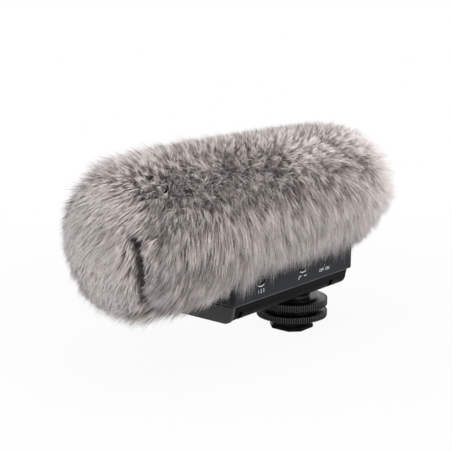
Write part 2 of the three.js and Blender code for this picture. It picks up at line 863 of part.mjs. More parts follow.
// Barrel, its end caps and capsules
function makeBarrel() {
  const wall = ringProfile(barrelBoreReach, barrelReach, barrelFront, barrelRear);
  let tube = turnedAlongY(wall, mediumSides);
  for (let i = 0; i < portCount; i += 1) {
    const portY = firstPortY + i * portPitch;
    const port = box(
      -barrelReach - overrun,
      barrelReach + overrun,
      portY - portLong / 2,
      portY + portLong / 2,
      axisHeight - portHalfHigh,
      axisHeight + portHalfHigh,
    );
    tube = cut(tube, port);
  }
  const leadHoleLow = axisHeight - barrelReach - overrun;
  tube = cut(tube, rodAlongZ(leadHoleReach, leadHoleLow, axisHeight, smallSides, 0, leadY));
  addPiece('barrel_tube', tube, blackMetal);

  let grille = turnedAlongY(
    [
      [0, grilleFront],
      [barrelReach - capEdge, grilleFront],
      [barrelReach, grilleFront + capEdge],
      [barrelReach, barrelFront - pressFit],
      [plugReach, barrelFront - pressFit],
      [plugReach, barrelFront + capPlugLong],
      [0, barrelFront + capPlugLong],
    ],
    mediumSides,
  );
  const slotReach = plugReach * grilleSlotShare;
  for (let i = 0; i < grilleSlots; i += 1) {
    const slotX = (i - (grilleSlots - 1) / 2) * grilleSlotPitch;
    const slot = box(
      slotX - grilleSlotWide / 2,
      slotX + grilleSlotWide / 2,
      grilleFront - overrun,
      barrelFront + capPlugLong + overrun,
      axisHeight - slotReach,
      axisHeight + slotReach,
    );
    grille = cut(grille, slot);
  }
  addPiece('front_grille', grille, blackMetal);

  const tail = turnedAlongY(
    [
      [0, barrelRear - capPlugLong],
      [plugReach, barrelRear - capPlugLong],
      [plugReach, barrelRear + pressFit],
      [barrelReach, barrelRear + pressFit],
      [barrelReach, barrelRear + tailLong - capEdge],
      [barrelReach - capEdge, barrelRear + tailLong],
      [0, barrelRear + tailLong],
    ],
    mediumSides,
  );
  addPiece('rear_cap', tail, blackMetal);

  const carrier = cut(
    rodAlongY(plugReach, carrierFront, carrierRear, mediumSides),
    rodAlongX(
      sideCapsuleReach + pressFit,
      -barrelReach - overrun,
      barrelReach + overrun,
      mediumSides,
      carrierY,
      axisHeight,
    ),
  );
  addPiece('capsule_carrier', carrier, rubber);
  const midRear = carrierFront - pressFit;
  const midFront = midRear - midCapsuleLong;
  addPiece('mid_capsule', rodAlongY(midCapsuleReach, midFront, midRear, mediumSides), steel);
  const sideHalf = sideCapsuleLong / 2;
  const sideCapsule = rodAlongX(sideCapsuleReach, -sideHalf, sideHalf, mediumSides, carrierY, axisHeight);
  addPiece('side_capsule', sideCapsule, steel);

  const leadDrop = axisHeight - barrelBoreReach / 2;
  const lead = new THREE.CatmullRomCurve3([
    new THREE.Vector3(0, carrierRear + slideFit, leadDrop),
    new THREE.Vector3(0, carrierRear + 2 * capPlugLong, leadDrop),
    new THREE.Vector3(0, leadY, leadDrop - capPlugLong),
    new THREE.Vector3(0, leadY, lidTop),
    new THREE.Vector3(0, leadY, lidLow - capPlugLong / 2),
    new THREE.Vector3(boardInner / 2, leadY, dialHeight),
    new THREE.Vector3(boardInner - slideFit, leadY, dialHeight),
  ]);
  const section = new THREE.Shape();
  section.absarc(0, 0, leadReach, 0, 2 * Math.PI, false);
  const leadShape = new THREE.ExtrudeGeometry(section, {
    extrudePath: lead,
    steps: leadSteps,
    curveSegments: leadArcSteps,
  });
  addPiece('capsule_lead', solidOf(leadShape), rubber);
}

// Rubber rings and the cradles that stand on the lid
function makeCradle(middleY, name) {
  const [low, high] = [middleY - ringLong / 2, middleY + ringLong / 2];
  const cradle = cut(
    join(
      rodAlongY(cradleOuter, low, high, mediumSides),
      box(-cradleLegHalf, cradleLegHalf, low, high, lidTop + pressFit, axisHeight),
    ),
    rodAlongY(cradleInner, low - overrun, high + overrun, mediumSides),
  );
  addPiece(`${name}_cradle`, cradle, blackPaint);
  const ring = ringProfile(ringInner, ringOuter, low, high);
  addPiece(`${name}_ring`, turnedAlongY(ring, mediumSides), rubber);
}

// Foam cover and fur muff
function makeFoam() {
  const bore = barrelReach + seatFit;
  const nose = [];
  for (let i = 0; i <= foamNoseSteps; i += 1) {
    const angle = (i / foamNoseSteps) * (Math.PI / 2);
    const reach = foamReach - foamNose + foamNose * Math.sin(angle);
    nose.push([reach, foamFront + foamNose * (1 - Math.cos(angle))]);
  }
  const profile = [
    [0, foamFront],
    ...nose,
    [foamReach, foamRear],
    [bore, foamRear],
    [bore, foamBoreFront],
    [0, foamBoreFront],
  ];
  addPiece('foam_cover', turnedAlongY(profile, mediumSides), foam);
}

// Distance of the fur's surface from the axis, as a share of the full one, near one end
function endShare(place, blunt) {
  return (1 - (1 - place) ** blunt) ** (1 / blunt);
}

function furReach(y) {
  const share = (y - muffFront) / (muffRear - muffFront);
  const slim = share < muffMiddleShare ? muffFrontTaper : muffRearTaper;
  return muffReach - slim * (2 * share - 1) ** 2;
}

function makeMuff() {
  const front = [];
  const rear = [];
  for (let i = 0; i <= muffEndSteps; i += 1) {
    const place = (i / muffEndSteps) ** muffEndSpread;
    const frontY = muffFront + place * muffFrontRound;
    const rearY = muffRear - place * muffRearRound;
    front.push([furReach(frontY) * endShare(place, muffFrontBlunt), frontY]);
    rear.unshift([furReach(rearY) * endShare(place, muffRearBlunt), rearY]);
  }
  const middle = [];
  const middleFront = muffFront + muffFrontRound;
  const middleLong = muffRear - muffRearRound - middleFront;
  for (let i = 1; i < muffMiddleSteps; i += 1) {
    const y = middleFront + (i / muffMiddleSteps) * middleLong;
    middle.push([furReach(y), y]);
  }
  const outside = turnedAlongY([...front, ...middle, ...rear], largeSides);
  const cavityCut = cavityRound * cavityRoundShare;
  const cavity = turnedAlongY(
    [
      [0, cavityFront],
      [cavityReach - cavityRound, cavityFront],
      [cavityReach - cavityCut, cavityFront + cavityCut],
      [cavityReach, cavityFront + cavityRound],
      [cavityReach, cavityRear],
      [0, cavityRear],
    ],
    mediumSides,
  );
  const [slotFront, slotRear] = [caseFront - looseFit, caseRear + looseFit];
  const caseSlot = box(-slotHalf, slotHalf, slotFront, slotRear, trayBottom, slotTop);
  const belowHem = box(-muffReach, muffReach, slotFront, slotRear, trayBottom, hemHeight);
  const legHalf = cradleLegHalf + looseFit;
  const legSlot = box(-legHalf, legHalf, slotFront, slotRear, lidTop, axisHeight);
  const pathHalf = drawerFaceTopHalf + looseFit;
  const pathTop = drawerFaceTop + looseFit;
  const drawerPath = box(-pathHalf, pathHalf, muffFront, slotFront + overrun, trayBottom, pathTop);
  addPiece('fur_muff', cut(outside, cavity, caseSlot, belowHem, legSlot, drawerPath), fur);
}

makeShoe();
makeWheels();
makeBase();
makeDrawer();
makeCase();
makeControls();
makeBarrel();
makeCradle(frontRingY, 'front');
makeCradle(rearRingY, 'rear');
makeFoam();
makeMuff();

export default microphone;
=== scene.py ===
# %% [markdown]
# A microphone for the top of a camera, in a fur wind muff.
#
# The model of the real sizes is ready when this script starts: it is loaded as a fixed frame, and
# nothing in it is moved. This script gives every part its finish, and replaces the plain solids of
# the soft parts and the wheels by finer ones. Everything is in metres, +Z is up, the barrel points
# along -Y, and the dials face +X.

# %% Load the frame
import json
import math

import bmesh
import bpy
import numpy as np
from mathutils import Matrix, Vector


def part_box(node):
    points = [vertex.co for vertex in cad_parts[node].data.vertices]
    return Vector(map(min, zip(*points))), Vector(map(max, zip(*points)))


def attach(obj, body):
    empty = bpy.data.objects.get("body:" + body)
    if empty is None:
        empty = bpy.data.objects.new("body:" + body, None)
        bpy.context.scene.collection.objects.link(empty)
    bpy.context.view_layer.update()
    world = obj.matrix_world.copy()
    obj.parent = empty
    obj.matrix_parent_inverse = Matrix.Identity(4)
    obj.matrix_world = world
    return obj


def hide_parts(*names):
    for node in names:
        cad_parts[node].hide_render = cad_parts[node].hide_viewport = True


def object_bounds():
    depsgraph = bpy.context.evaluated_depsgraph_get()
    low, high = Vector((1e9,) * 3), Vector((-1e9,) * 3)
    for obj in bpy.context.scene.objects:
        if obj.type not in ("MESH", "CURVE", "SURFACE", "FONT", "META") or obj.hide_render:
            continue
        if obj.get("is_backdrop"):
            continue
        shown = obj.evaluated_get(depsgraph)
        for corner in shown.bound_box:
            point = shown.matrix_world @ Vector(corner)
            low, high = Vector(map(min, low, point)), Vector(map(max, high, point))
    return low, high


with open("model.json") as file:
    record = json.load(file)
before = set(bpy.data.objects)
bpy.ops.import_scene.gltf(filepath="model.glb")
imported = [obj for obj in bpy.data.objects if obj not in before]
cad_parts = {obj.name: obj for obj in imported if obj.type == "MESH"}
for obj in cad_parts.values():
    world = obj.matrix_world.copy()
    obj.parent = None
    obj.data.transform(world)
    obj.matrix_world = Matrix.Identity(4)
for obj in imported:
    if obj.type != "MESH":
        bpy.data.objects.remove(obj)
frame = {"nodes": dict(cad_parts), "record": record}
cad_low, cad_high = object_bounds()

MM = 0.001
print("parts in the frame:", len(frame["nodes"]))

# %% [markdown]
# ## Sizes taken from the frame
#
# The pieces that are made here sit on the parts of the frame, so their places come from the boxes
# of those parts. The muff is round about the barrel, so its widest point gives its reach, and its
# top less its reach gives the height of the barrel's axis.

# %% Sizes taken from the frame
muff_low, muff_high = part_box("fur_muff")
case_low, case_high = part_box("case_shell")
foam_low, foam_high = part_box("foam_cover")
MUFF_REACH = (muff_high.x - muff_low.x) / 2
AXIS_HEIGHT = muff_high.z - MUFF_REACH
MUFF_FRONT, MUFF_REAR = muff_low.y, muff_high.y
FOAM_REACH = (foam_high.x - foam_low.x) / 2
print("muff reach and axis height:", round(MUFF_REACH, 4), round(AXIS_HEIGHT, 4))

# %% [markdown]
# ## The camera
#
# The camera looks at the near end and the right side from a little above. Its place was found by
# fitting straight edges and the round rims of the wheels. A long lens keeps the far end large.

# %% Camera
AZIMUTH, ELEVATION, ROLL = math.radians(39.01), math.radians(12.80), math.radians(0.44)
FOOT_IN_VIEW = Vector((31.62, -48.21, -580.13)) * MM
FOCAL_PIXELS, IMAGE_PIXELS = 1200, 452


def add_object(name, data):
    """A new object in the scene, at the origin."""
    made = bpy.data.objects.new(name, data)
    bpy.context.scene.collection.objects.link(made)
    return made


def make_camera():
    """A camera whose own right, up and back directions come from the three angles."""
    right = Vector((math.cos(AZIMUTH), math.sin(AZIMUTH), 0))
    back = Vector((
        math.sin(AZIMUTH) * math.cos(ELEVATION),
        -math.cos(AZIMUTH) * math.cos(ELEVATION),
        math.sin(ELEVATION),
    ))
    up = back.cross(right)
    leaning_right = math.cos(ROLL) * right + math.sin(ROLL) * up
    leaning_up = math.cos(ROLL) * up - math.sin(ROLL) * right
    turn = Matrix((leaning_right, leaning_up, back)).transposed()
    data = bpy.data.cameras.new("camera")
    data.lens = data.sensor_width * FOCAL_PIXELS / IMAGE_PIXELS
    camera = add_object("camera", data)
    camera.matrix_world = Matrix.Translation(-(turn @ FOOT_IN_VIEW)) @ turn.to_4x4()
    bpy.context.scene.camera = camera
    return camera


camera = make_camera()
print("camera stands at", [round(x, 3) for x in camera.matrix_world.translation])

# %% [markdown]
# ## Node trees as sums
#
# A material is a tree of nodes, and writing one out node by node hides what it does. A small class
# wraps a socket, so that an expression such as 1 - mask adds the Math nodes it needs. A vector in
# the expression makes it a Vector Math node.

# %% Node trees as sums
class Value:
    """A socket of a node tree that can be used in sums."""

    def __init__(self, tree, socket):
        self.tree = tree
        self.socket = socket

    def other(self, name):
        """Another output of the same node."""
        return Value(self.tree, self.tree.pick(self.socket.node.outputs, name))

    def __add__(self, other):
        return self.tree.maths("ADD", self, other)

    def __sub__(self, other):
        return self.tree.maths("SUBTRACT", self, other)

    def __rsub__(self, other):
        return self.tree.maths("SUBTRACT", other, self)

    def __mul__(self, other):
        return self.tree.maths("MULTIPLY", self, other)

    def __truediv__(self, other):
        return self.tree.maths("DIVIDE", self, other)

    def __pow__(self, other):
        return self.tree.maths("POWER", self, other)

    __radd__ = __add__
    __rmul__ = __mul__


print("signs that a Value knows: + - * / **")

# %% [markdown]
# The class of the tree adds the nodes. Its method node makes one of any kind, and the other methods
# give short names to the kinds that come up often, such as a colour ramp, noise or a bump.

# %% Nodes by name
class Tree:
    """Adds nodes to the tree of a material or of a modifier."""

    def __init__(self, tree):
        self.tree = tree

    def pick(self, sockets, name):
        """The socket of that number, or the first one in use, of that name if one is given."""
        if isinstance(name, int):
            return sockets[name]
        return next(s for s in sockets if s.enabled and name in (None, s.name))

    def feed(self, socket, value):
        """Links a Value to the socket, or sets a plain value on it."""
        if isinstance(value, list):
            for one in value:
                self.feed(socket, one)
        elif isinstance(value, Value):
            self.tree.links.new(value.socket, socket)
        elif socket.type == "VECTOR" and isinstance(value, (int, float)):
            socket.default_value = (value, value, value)
        else:
            socket.default_value = value

    def node(self, kind, inputs=(), output=None, **settings):
        """A node with its settings made first, then its inputs. Gives its first output, or that one."""
        made = self.tree.nodes.new(kind)
        for name, value in settings.items():
            setattr(made, name, value)
        for name, value in dict(inputs).items():
            self.feed(self.pick(made.inputs, name), value)
        return Value(self, self.pick(made.outputs, output)) if made.outputs else None

    def shader(self, kind, *rest, **settings):
        return self.node("ShaderNode" + kind, *rest, **settings)

    def geometry(self, kind, *rest, **settings):
        return self.node("GeometryNode" + kind, *rest, **settings)

    def maths(self, operation, *values):
        """A Math node, or a Vector Math node where one of the values is a vector."""
        vector = any(
            v.socket.type == "VECTOR" if isinstance(v, Value) else not isinstance(v, (int, float))
            for v in values
        )
        return self.shader("VectorMath" if vector else "Math", dict(enumerate(values)), operation=operation)

    def split(self, vector):
        """The three parts of a vector."""
        x = self.shader("SeparateXYZ", {"Vector": vector})
        return x, x.other("Y"), x.other("Z")

    def vector(self, x, y, z=0.0):
        return self.shader("CombineXYZ", {"X": x, "Y": y, "Z": z})

    def mix(self, factor, first, second):
        """A mix of two colours."""
        return self.shader("Mix", {"Factor": factor, "A": first, "B": second}, data_type="RGBA")

    def ramp(self, factor, stops):
        """A colour ramp with its stops as (place, colour), from left to right."""
        made = self.shader("ValToRGB", {"Fac": factor})
        elements = made.socket.node.color_ramp.elements
        while len(elements) < len(stops):
            elements.new(1)
        for element, (place, colour) in zip(elements, stops):
            element.position = place
            element.color = (*colour, 1)
        return made

    def limits(self, value, low, high, to_low=0.0, to_high=1.0):
        """The value's way from low to high, smoothed, as a way from to_low to to_high."""
        inputs = {"Value": value, "From Min": low, "From Max": high, "To Min": to_low, "To Max": to_high}
        return self.shader("MapRange", inputs, interpolation_type="SMOOTHSTEP")

    def noise(self, place, size, detail=2.0, roughness=0.5):
        """Cloudy noise whose clouds are about as large as size, from 0 to 1."""
        inputs = {"Vector": place, "Scale": 1 / size, "Detail": detail, "Roughness": roughness}
        return self.shader("TexNoise", inputs)

    def object_place(self):
        return self.shader("TexCoord", (), "Object")

    def bump(self, height, depth):
        return self.shader("Bump", {"Height": height, "Distance": depth})


def empty_tree(owner):
    """The cleared tree of a material or of the world."""
    owner.use_nodes = True
    owner.node_tree.nodes.clear()
    return Tree(owner.node_tree)


def finish(name, describe):
    """A material whose Principled shader takes the inputs that describe(tree) gives."""
    material = bpy.data.materials.new(name)
    tree = empty_tree(material)
    shader = tree.shader("BsdfPrincipled", describe(tree))
    tree.shader("OutputMaterial", {"Surface": shader})
    return material


print("node helpers ready")

# %% [markdown]
# ## Hard finishes
#
# The case and the base are painted metal with a fine grain, which the light picks out as a soft
# sheen. The grain is a bump from small noise, and larger noise changes the roughness a little, as
# handling does. The wheels and the foot are turned and blackened, so their grain runs in rings
# round the stud.

# %% Hard finishes
def grey(level):
    return (level, level, level)


def painted(name, colour, pale, roughness, grain, depth, gloss=0.5, rim=None):
    """Paint with a fine grain, between two colours. Its rim is a height where an edge gets a painted
    highlight, a pale and patchy band.
    """

    def describe(tree):
        place = tree.object_place()
        clouds = tree.noise(place, 9 * MM, 3)
        speckle = tree.noise(place, grain, 2, 0.6)
        paint = tree.ramp(clouds * 0.6 + speckle * 0.4, [(0.3, colour), (0.7, pale)])
        # Painted highlight: a pale, patchy band along the edge at the rim's height, for the light that the
        # edge's chamfer catches.
        if rim:
            _, _, z = tree.split(place)
            painted_highlight = tree.limits(tree.maths("ABSOLUTE", z - rim), HIGHLIGHT_WIDTH, 0.0) * (clouds + 0.35)
            paint = tree.mix(painted_highlight, paint, (0.16, 0.165, 0.175, 1))
        return {
            "Base Color": paint,
            "Roughness": roughness + (clouds - 0.5) * 0.14,
            "Specular IOR Level": gloss,
            "Normal": tree.bump(speckle, depth),
        }

    return finish(name, describe)


def turned(name, colour, pale, metallic, roughness, ring, gloss=0.5):
    """Metal turned on a lathe about the Z axis, with fine rings."""

    def describe(tree):
        x, y, z = tree.split(tree.object_place())
        reach = tree.maths("SQRT", x * x + y * y)
        rings = tree.noise(tree.vector(reach, z * 0.4), ring, 4, 0.65)
        smudge = tree.noise(tree.object_place(), 6 * MM, 2)
        return {
            "Base Color": tree.ramp(rings * 0.5 + smudge * 0.5, [(0.3, colour), (0.7, pale)]),
            "Metallic": metallic,
            "Roughness": roughness + (rings - 0.5) * 0.12 + (smudge - 0.5) * 0.1,
            "Specular IOR Level": gloss,
            "Normal": tree.bump(rings, 0.015 * MM),
        }

    return finish(name, describe)


def knurled(outer):
    """Black metal with ribs round a wheel, with a patchy painted highlight on the crest of each rib."""

    def describe(tree):
        x, y, _ = tree.split(tree.object_place())
        reach = tree.maths("SQRT", x * x + y * y)
        wear_and_highlight_noise = tree.noise(tree.object_place(), 1.5 * MM, 3, 0.6)
        # Painted highlight: the crests are paler in patches, for the light that each rib top catches. The
        # same noise roughens the metal as wear.
        painted_highlight = tree.limits(reach, outer - RIB_DEPTH, outer) * (0.55 + wear_and_highlight_noise * 0.9)
        crest = tree.limits(painted_highlight, 0.0, 1.0)
        return {
            "Base Color": tree.mix(crest, (0.0025, 0.0025, 0.003, 1), (0.05, 0.05, 0.052, 1)),
            "Roughness": 0.24 + (wear_and_highlight_noise - 0.5) * 0.15,
            "Specular IOR Level": 0.2,
            "Normal": tree.bump(wear_and_highlight_noise, 0.01 * MM),
        }

    return finish("knurled metal", describe)


HIGHLIGHT_WIDTH, RIB_DEPTH, TRAY_SLOPE = 0.45 * MM, 0.5 * MM, 4.6 * MM
# Heights of the painted edge highlights: the tray's lower rim, where its slope starts, and the case's bottom
# edge.
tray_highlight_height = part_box("base_tray")[0].z + TRAY_SLOPE
case_highlight_height = case_low.z + HIGHLIGHT_WIDTH / 3
# The tray's paint is darker than the case's as painted shade, for its slope that faces down under the case.
tray_paint_shaded = painted(
    "shaded tray paint", (0.0024, 0.0026, 0.003), (0.0055, 0.006, 0.0068),
    0.3, 0.3 * MM, 0.008 * MM, 0.04, tray_highlight_height)
FINISH_OF_SLOT = {
    "black_paint": painted(
        "case paint", (0.007, 0.0085, 0.011), (0.013, 0.015, 0.0185),
        0.5, 0.22 * MM, 0.012 * MM, 0.24, case_highlight_height),
    "grey_paint": painted(
        "grey paint", (0.042, 0.042, 0.044), (0.054, 0.054, 0.056), 0.66, 0.2 * MM, 0.02 * MM, 0.4),
    "black_plastic": painted(
        "black plastic", (0.006, 0.006, 0.0065), (0.012, 0.012, 0.0125), 0.42, 0.3 * MM, 0.015 * MM),
    "rubber": painted("rubber", grey(0.014), grey(0.03), 0.82, 0.35 * MM, 0.03 * MM),
    "nylon": painted("nylon", (0.008, 0.008, 0.0085), (0.014, 0.014, 0.0145), 0.5, 0.5 * MM, 0.01 * MM, 0.4),
    "black_metal": turned(
        "black metal", (0.0015, 0.0015, 0.0018), (0.0045, 0.0045, 0.005), 0.0, 0.24, 0.25 * MM, 0.18),
    "steel": turned("plated steel", (0.42, 0.42, 0.44), (0.6, 0.6, 0.61), 1.0, 0.3, 0.2 * MM),
    "brass": turned("brass", (0.52, 0.36, 0.14), (0.66, 0.48, 0.2), 1.0, 0.32, 0.2 * MM),
}
knurled_metal = knurled(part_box("lock_wheel")[1].x)
print("hard finishes:", len(bpy.data.materials))

# %% [markdown]
# The control board is green lacquer over copper tracks. The tracks are bands of a brick pattern,
# read in the board's own plane.

# %% Control board
def board_finish():
    def describe(tree):
        _, y, z = tree.split(tree.object_place())
        inputs = {"Vector": tree.vector(y, z), "Scale": 220.0, "Mortar Size": 0.06, "Mortar Smooth": 0.2}
        track = tree.shader("TexBrick", inputs, "Fac")
        return {
            "Base Color": tree.mix(track, (0.015, 0.09, 0.035, 1), (0.05, 0.2, 0.08, 1)),
            "Roughness": 0.35 + track * 0.1,
            "Normal": tree.bump(track, 0.02 * MM),
        }

    return finish("control board", describe)


FINISH_OF_SLOT["board_green"] = board_finish()
print("slots with a finish:", *FINISH_OF_SLOT)

# %% [markdown]
# The record names a slot for each part, and the slot has its finish. Only the tray has its own: it
# is smoother than the case, and its paint is darker as painted shade, for its slope that faces down.
# The slots of soft parts have none here: finer pieces take the place of those parts.

# %% Give every part of the frame its finish
FINISH_OF_NODE = {"base_tray": tray_paint_shaded}


def paint_frame():
    """Every node of the frame gets the finish that the record names for it."""
    done = 0
    for part in frame["record"]["subparts"]:
        material = FINISH_OF_NODE.get(part["node"], FINISH_OF_SLOT.get(part["material_slot"]))
        node = frame["nodes"][part["node"]]
        if material is None:
            continue
        if not node.data.materials:
            node.data.materials.append(material)
        for slot in node.material_slots:
            slot.link = "OBJECT"
            slot.material = material
        done += 1
    return done


print("parts painted:", paint_frame())

# %% [markdown]
# ## Meshes from formulas
#
# The pieces below start as rings of points that a formula places, joined by faces with four
# corners. The helpers make an object of points and faces, list the faces between rings, join
# objects, and turn an object with modifiers into a plain mesh.

# %% Meshes from formulas
def mesh_object(name, vertices, faces):
    mesh = bpy.data.meshes.new(name)
    mesh.from_pydata([tuple(v) for v in vertices], [], [tuple(f) for f in faces])
    mesh.update()
    return add_object(name, mesh)


def points_of(made):
    return np.array([v.co for v in made.data.vertices])


def move_points(made, points):
    made.data.vertices.foreach_set("co", points.astype(np.float32).ravel())


def ring_faces(rings, sides, flip=False):
    """Quads between rings of points."""
    i, j = np.meshgrid(np.arange(rings - 1), np.arange(sides), indexing="ij")
    i, j = i.ravel(), j.ravel()
    k = (j + 1) % sides
    quads = np.stack([i * sides + j, (i + 1) * sides + j, (i + 1) * sides + k, i * sides + k], 1)
    return quads[:, ::-1] if flip else quads


def baked_down(made, name):
    """A plain mesh of the object as its modifiers show it, in place of the object."""
    depsgraph = bpy.context.evaluated_depsgraph_get()
    mesh = bpy.data.meshes.new_from_object(made.evaluated_get(depsgraph))
    plain = add_object(name, mesh)
    bpy.data.objects.remove(made)
    mesh.name = name
    return plain


def joined(name, pieces):
    """One plain object in place of several."""
    shape = bmesh.new()
    for piece in pieces:
        shape.from_mesh(piece.data)
        bpy.data.objects.remove(piece)
    mesh = bpy.data.meshes.new(name)
    shape.to_mesh(mesh)
    shape.free()
    return add_object(name, mesh)


def use_tree(made, group, settings):
    """Adds the tree as a modifier and sets its inputs by their identifiers."""
    modifier = made.modifiers.new(group.name, "NODES")
    modifier.node_group = group
    for item in group.interface.items_tree:
        if item.item_type == "SOCKET" and item.in_out == "INPUT" and item.name in settings:
            modifier[item.identifier] = settings[item.name]


def modifier_tree(name, first, inputs):
    """A tree of Geometry Nodes with named inputs, and the Value of its first one, a geometry."""
    group = bpy.data.node_groups.new(name, "GeometryNodeTree")
    face = group.interface
    face.new_socket("Geometry", in_out="OUTPUT", socket_type="NodeSocketGeometry")
    face.new_socket(first, in_out="INPUT", socket_type="NodeSocketGeometry")
    for label, kind in inputs.items():
        face.new_socket(label, in_out="INPUT", socket_type="NodeSocket" + kind)
    tree = Tree(group)
    return tree, tree.node("NodeGroupInput")


print("mesh helpers ready")

# %% [markdown]
# ## The two knurled wheels
#
# Both wheels are turned from bar, with a chamfer at each edge and a collar on top, and straight
# ribs cut round the rim for grip. In the frame the ribs are plain flutes. Here the turned body is a
# closed profile swept round the stud, and Geometry Nodes set a rib with rounded sides and tapered
# ends on each point of a circle, so that every rib top catches its own spot of light.

# %% The tree that sets the ribs
def rib_tree():
    inputs = {"Ribs": "Int", "Rib reach": "Float", "Rib half width": "Float", "Rib length": "Float"}
    inputs |= {"Rib middle": "Float", "Rib chamfer": "Float", "Finish": "Material"}
    tree, body = modifier_tree("ribs round a wheel", "Turned body", inputs)
    length = body.other("Rib length")
    circle_inputs = {"Vertices": body.other("Ribs"), "Radius": body.other("Rib reach")}
    circle = tree.geometry("MeshCircle", circle_inputs)
    rise = tree.vector(0.0, 0.0, body.other("Rib middle"))
    circle = tree.geometry("SetPosition", {"Geometry": circle, "Offset": rise})
    rod_inputs = {"Vertices": 8, "Side Segments": 3, "Radius": body.other("Rib half width"), "Depth": length}
    rod = tree.geometry("MeshCylinder", rod_inputs)
    x, y, z = tree.split(tree.geometry("InputPosition"))
    at_end = tree.maths("GREATER_THAN", tree.maths("ABSOLUTE", z), length * 0.4)
    spread = 3.0 - 6.0 * (body.other("Rib chamfer") / length)
    width = 1.0 - at_end * 0.45
    place = tree.vector(x * width, y * width, z * (at_end + (1.0 - at_end) * spread))
    rod = tree.geometry("SetPosition", {"Geometry": rod, "Position": place})
    ribs = tree.geometry("InstanceOnPoints", {"Points": circle, "Instance": rod})
    both = tree.geometry("JoinGeometry", {"Geometry": [body, ribs]})
    both = tree.geometry("RealizeInstances", {"Geometry": both})
    both = tree.geometry("SetMaterial", {"Geometry": both, "Material": body.other("Finish")})
    tree.node("NodeGroupOutput", {"Geometry": both})
    return tree.tree


ribs_round_wheel = rib_tree()
print("nodes in the rib tree:", len(ribs_round_wheel.nodes))

# %% [markdown]
# The turned body measures the frame's own wheel, so that it fits the stud and keeps the height and
# the reach of the rim. Where that wheel has a recess underneath, the new one has it too.

# %% Make the wheels
RIBS, RIB_HALF_WIDTH = 96, 0.3 * MM
EDGE, COLLAR_EDGE = 0.3 * MM, 0.22 * MM
WHEEL_SIDES, SHARP_ANGLE = 128, math.radians(32)
SAME_LEVEL = 0.05 * MM


def node_profile(name):
    """Reach and height of every point of a turned node of the frame."""
    points = points_of(frame["nodes"][name])
    return np.hypot(points[:, 0], points[:, 1]), points[:, 2]


def turned_body(name, profile, sides):
    """A closed outline swept round the Z axis, with its faces turned outwards."""
    turn = np.linspace(0, 2 * math.pi, sides, endpoint=False)
    rings = [(r * math.cos(a), r * math.sin(a), z) for r, z in profile for a in turn]
    body = mesh_object(name, rings, ring_faces(len(profile) + 1, sides) % len(rings))
    shape = bmesh.new()
    shape.from_mesh(body.data)
    bmesh.ops.recalc_face_normals(shape, faces=shape.faces)
    shape.to_mesh(body.data)
    shape.free()
    return body


def make_wheel(node, name):
    reach, height = node_profile(node)
    low, high, bore, outer = height.min(), height.max(), reach.min(), reach.max()
    collar = reach[height > high - SAME_LEVEL].max()
    top = height[reach > outer - RIB_DEPTH].max()
    core = outer - RIB_DEPTH
    recess, roof = reach[height < low + SAME_LEVEL].min(), height[reach < bore + SAME_LEVEL].min()
    hollow = [(bore, roof), (recess, roof)] if recess > bore + EDGE else []
    body = turned_body(f"{name} body", hollow + [
        (recess, low), (core - EDGE, low), (core, low + EDGE), (core, top - EDGE), (core - EDGE, top),
        (collar + 2 * COLLAR_EDGE, top), (collar, top + COLLAR_EDGE), (collar, high - COLLAR_EDGE),
        (collar - COLLAR_EDGE, high), (bore + COLLAR_EDGE, high), (bore, high - COLLAR_EDGE),
    ], WHEEL_SIDES)
    use_tree(body, ribs_round_wheel, {
        "Ribs": RIBS,
        "Rib reach": outer - RIB_HALF_WIDTH,
        "Rib half width": RIB_HALF_WIDTH,
        "Rib length": top - low - 2 * SAME_LEVEL,
        "Rib middle": (top + low) / 2,
        "Rib chamfer": EDGE,
        "Finish": knurled_metal,
    })
    wheel = baked_down(body, name)
    wheel.data.shade_smooth()
    wheel.data.set_sharp_from_angle(angle=SHARP_ANGLE)
    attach(wheel, node)
    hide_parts(node)
    return wheel


wheels = [make_wheel(node, f"{node}_knurled") for node in ("clamp_wheel", "lock_wheel")]
print("faces of each wheel:", [len(w.data.polygons) for w in wheels])

# %% [markdown]
# ## Print and rims on the control side
#
# Pale print under each dial says what it sets: plain numbers for the first, a slope and a flat line
# for the second, and OFF and ON for the third. A short arc follows the lower edge of the first two
# dials, and a tick stands under the third. The print is a thin skin on the case: texts and pen
# strokes, made into one flat mesh and given the thickness of a coat of ink. Each dial sits in a
# hole whose edge is a small rounded rim.

# %% Ink and rims
INK, INK_WIDTH = 0.04 * MM, 0.34 * MM
PANEL = case_high.x

# Lengths in millimetres about the middle of a dial: along Y, and up
ARC_REACH = 4.3
ARCS = {"low_cut": (150, 210, 9), "pattern": (150, 210, 9), "power": (178, 182, 2)}
SIGNS = {"low_cut": [[(-3.4, -7.1), (-2.5, -5.8), (-1.2, -5.8)], [(0.8, -6.1), (2.6, -6.1)]]}
WORDS = {"pattern": ("1 2 3", -7.2, 2.3), "power": ("OFF  ON", -6.9, 2.1)}
RIM_REACH, RIM_TUBE = 3.5 * MM, 0.17 * MM
RIM_STEPS, RIM_SIDES = 48, 8


def ink_finish():
    def describe(tree):
        rub = tree.noise(tree.object_place(), 0.5 * MM, 3, 0.7)
        return {
            "Base Color": tree.ramp(rub, [(0.3, (0.5, 0.51, 0.52)), (0.6, (0.78, 0.79, 0.8))]),
            "Roughness": 0.6,
        }

    return finish("pale ink", describe)


pale_ink = ink_finish()


def onto_panel(y, z):
    """Lays what is drawn on the ground on the panel, its origin at that point."""
    return Matrix(((0, 0, 1, PANEL), (1, 0, 0, y), (0, 1, 0, z), (0, 0, 0, 1)))


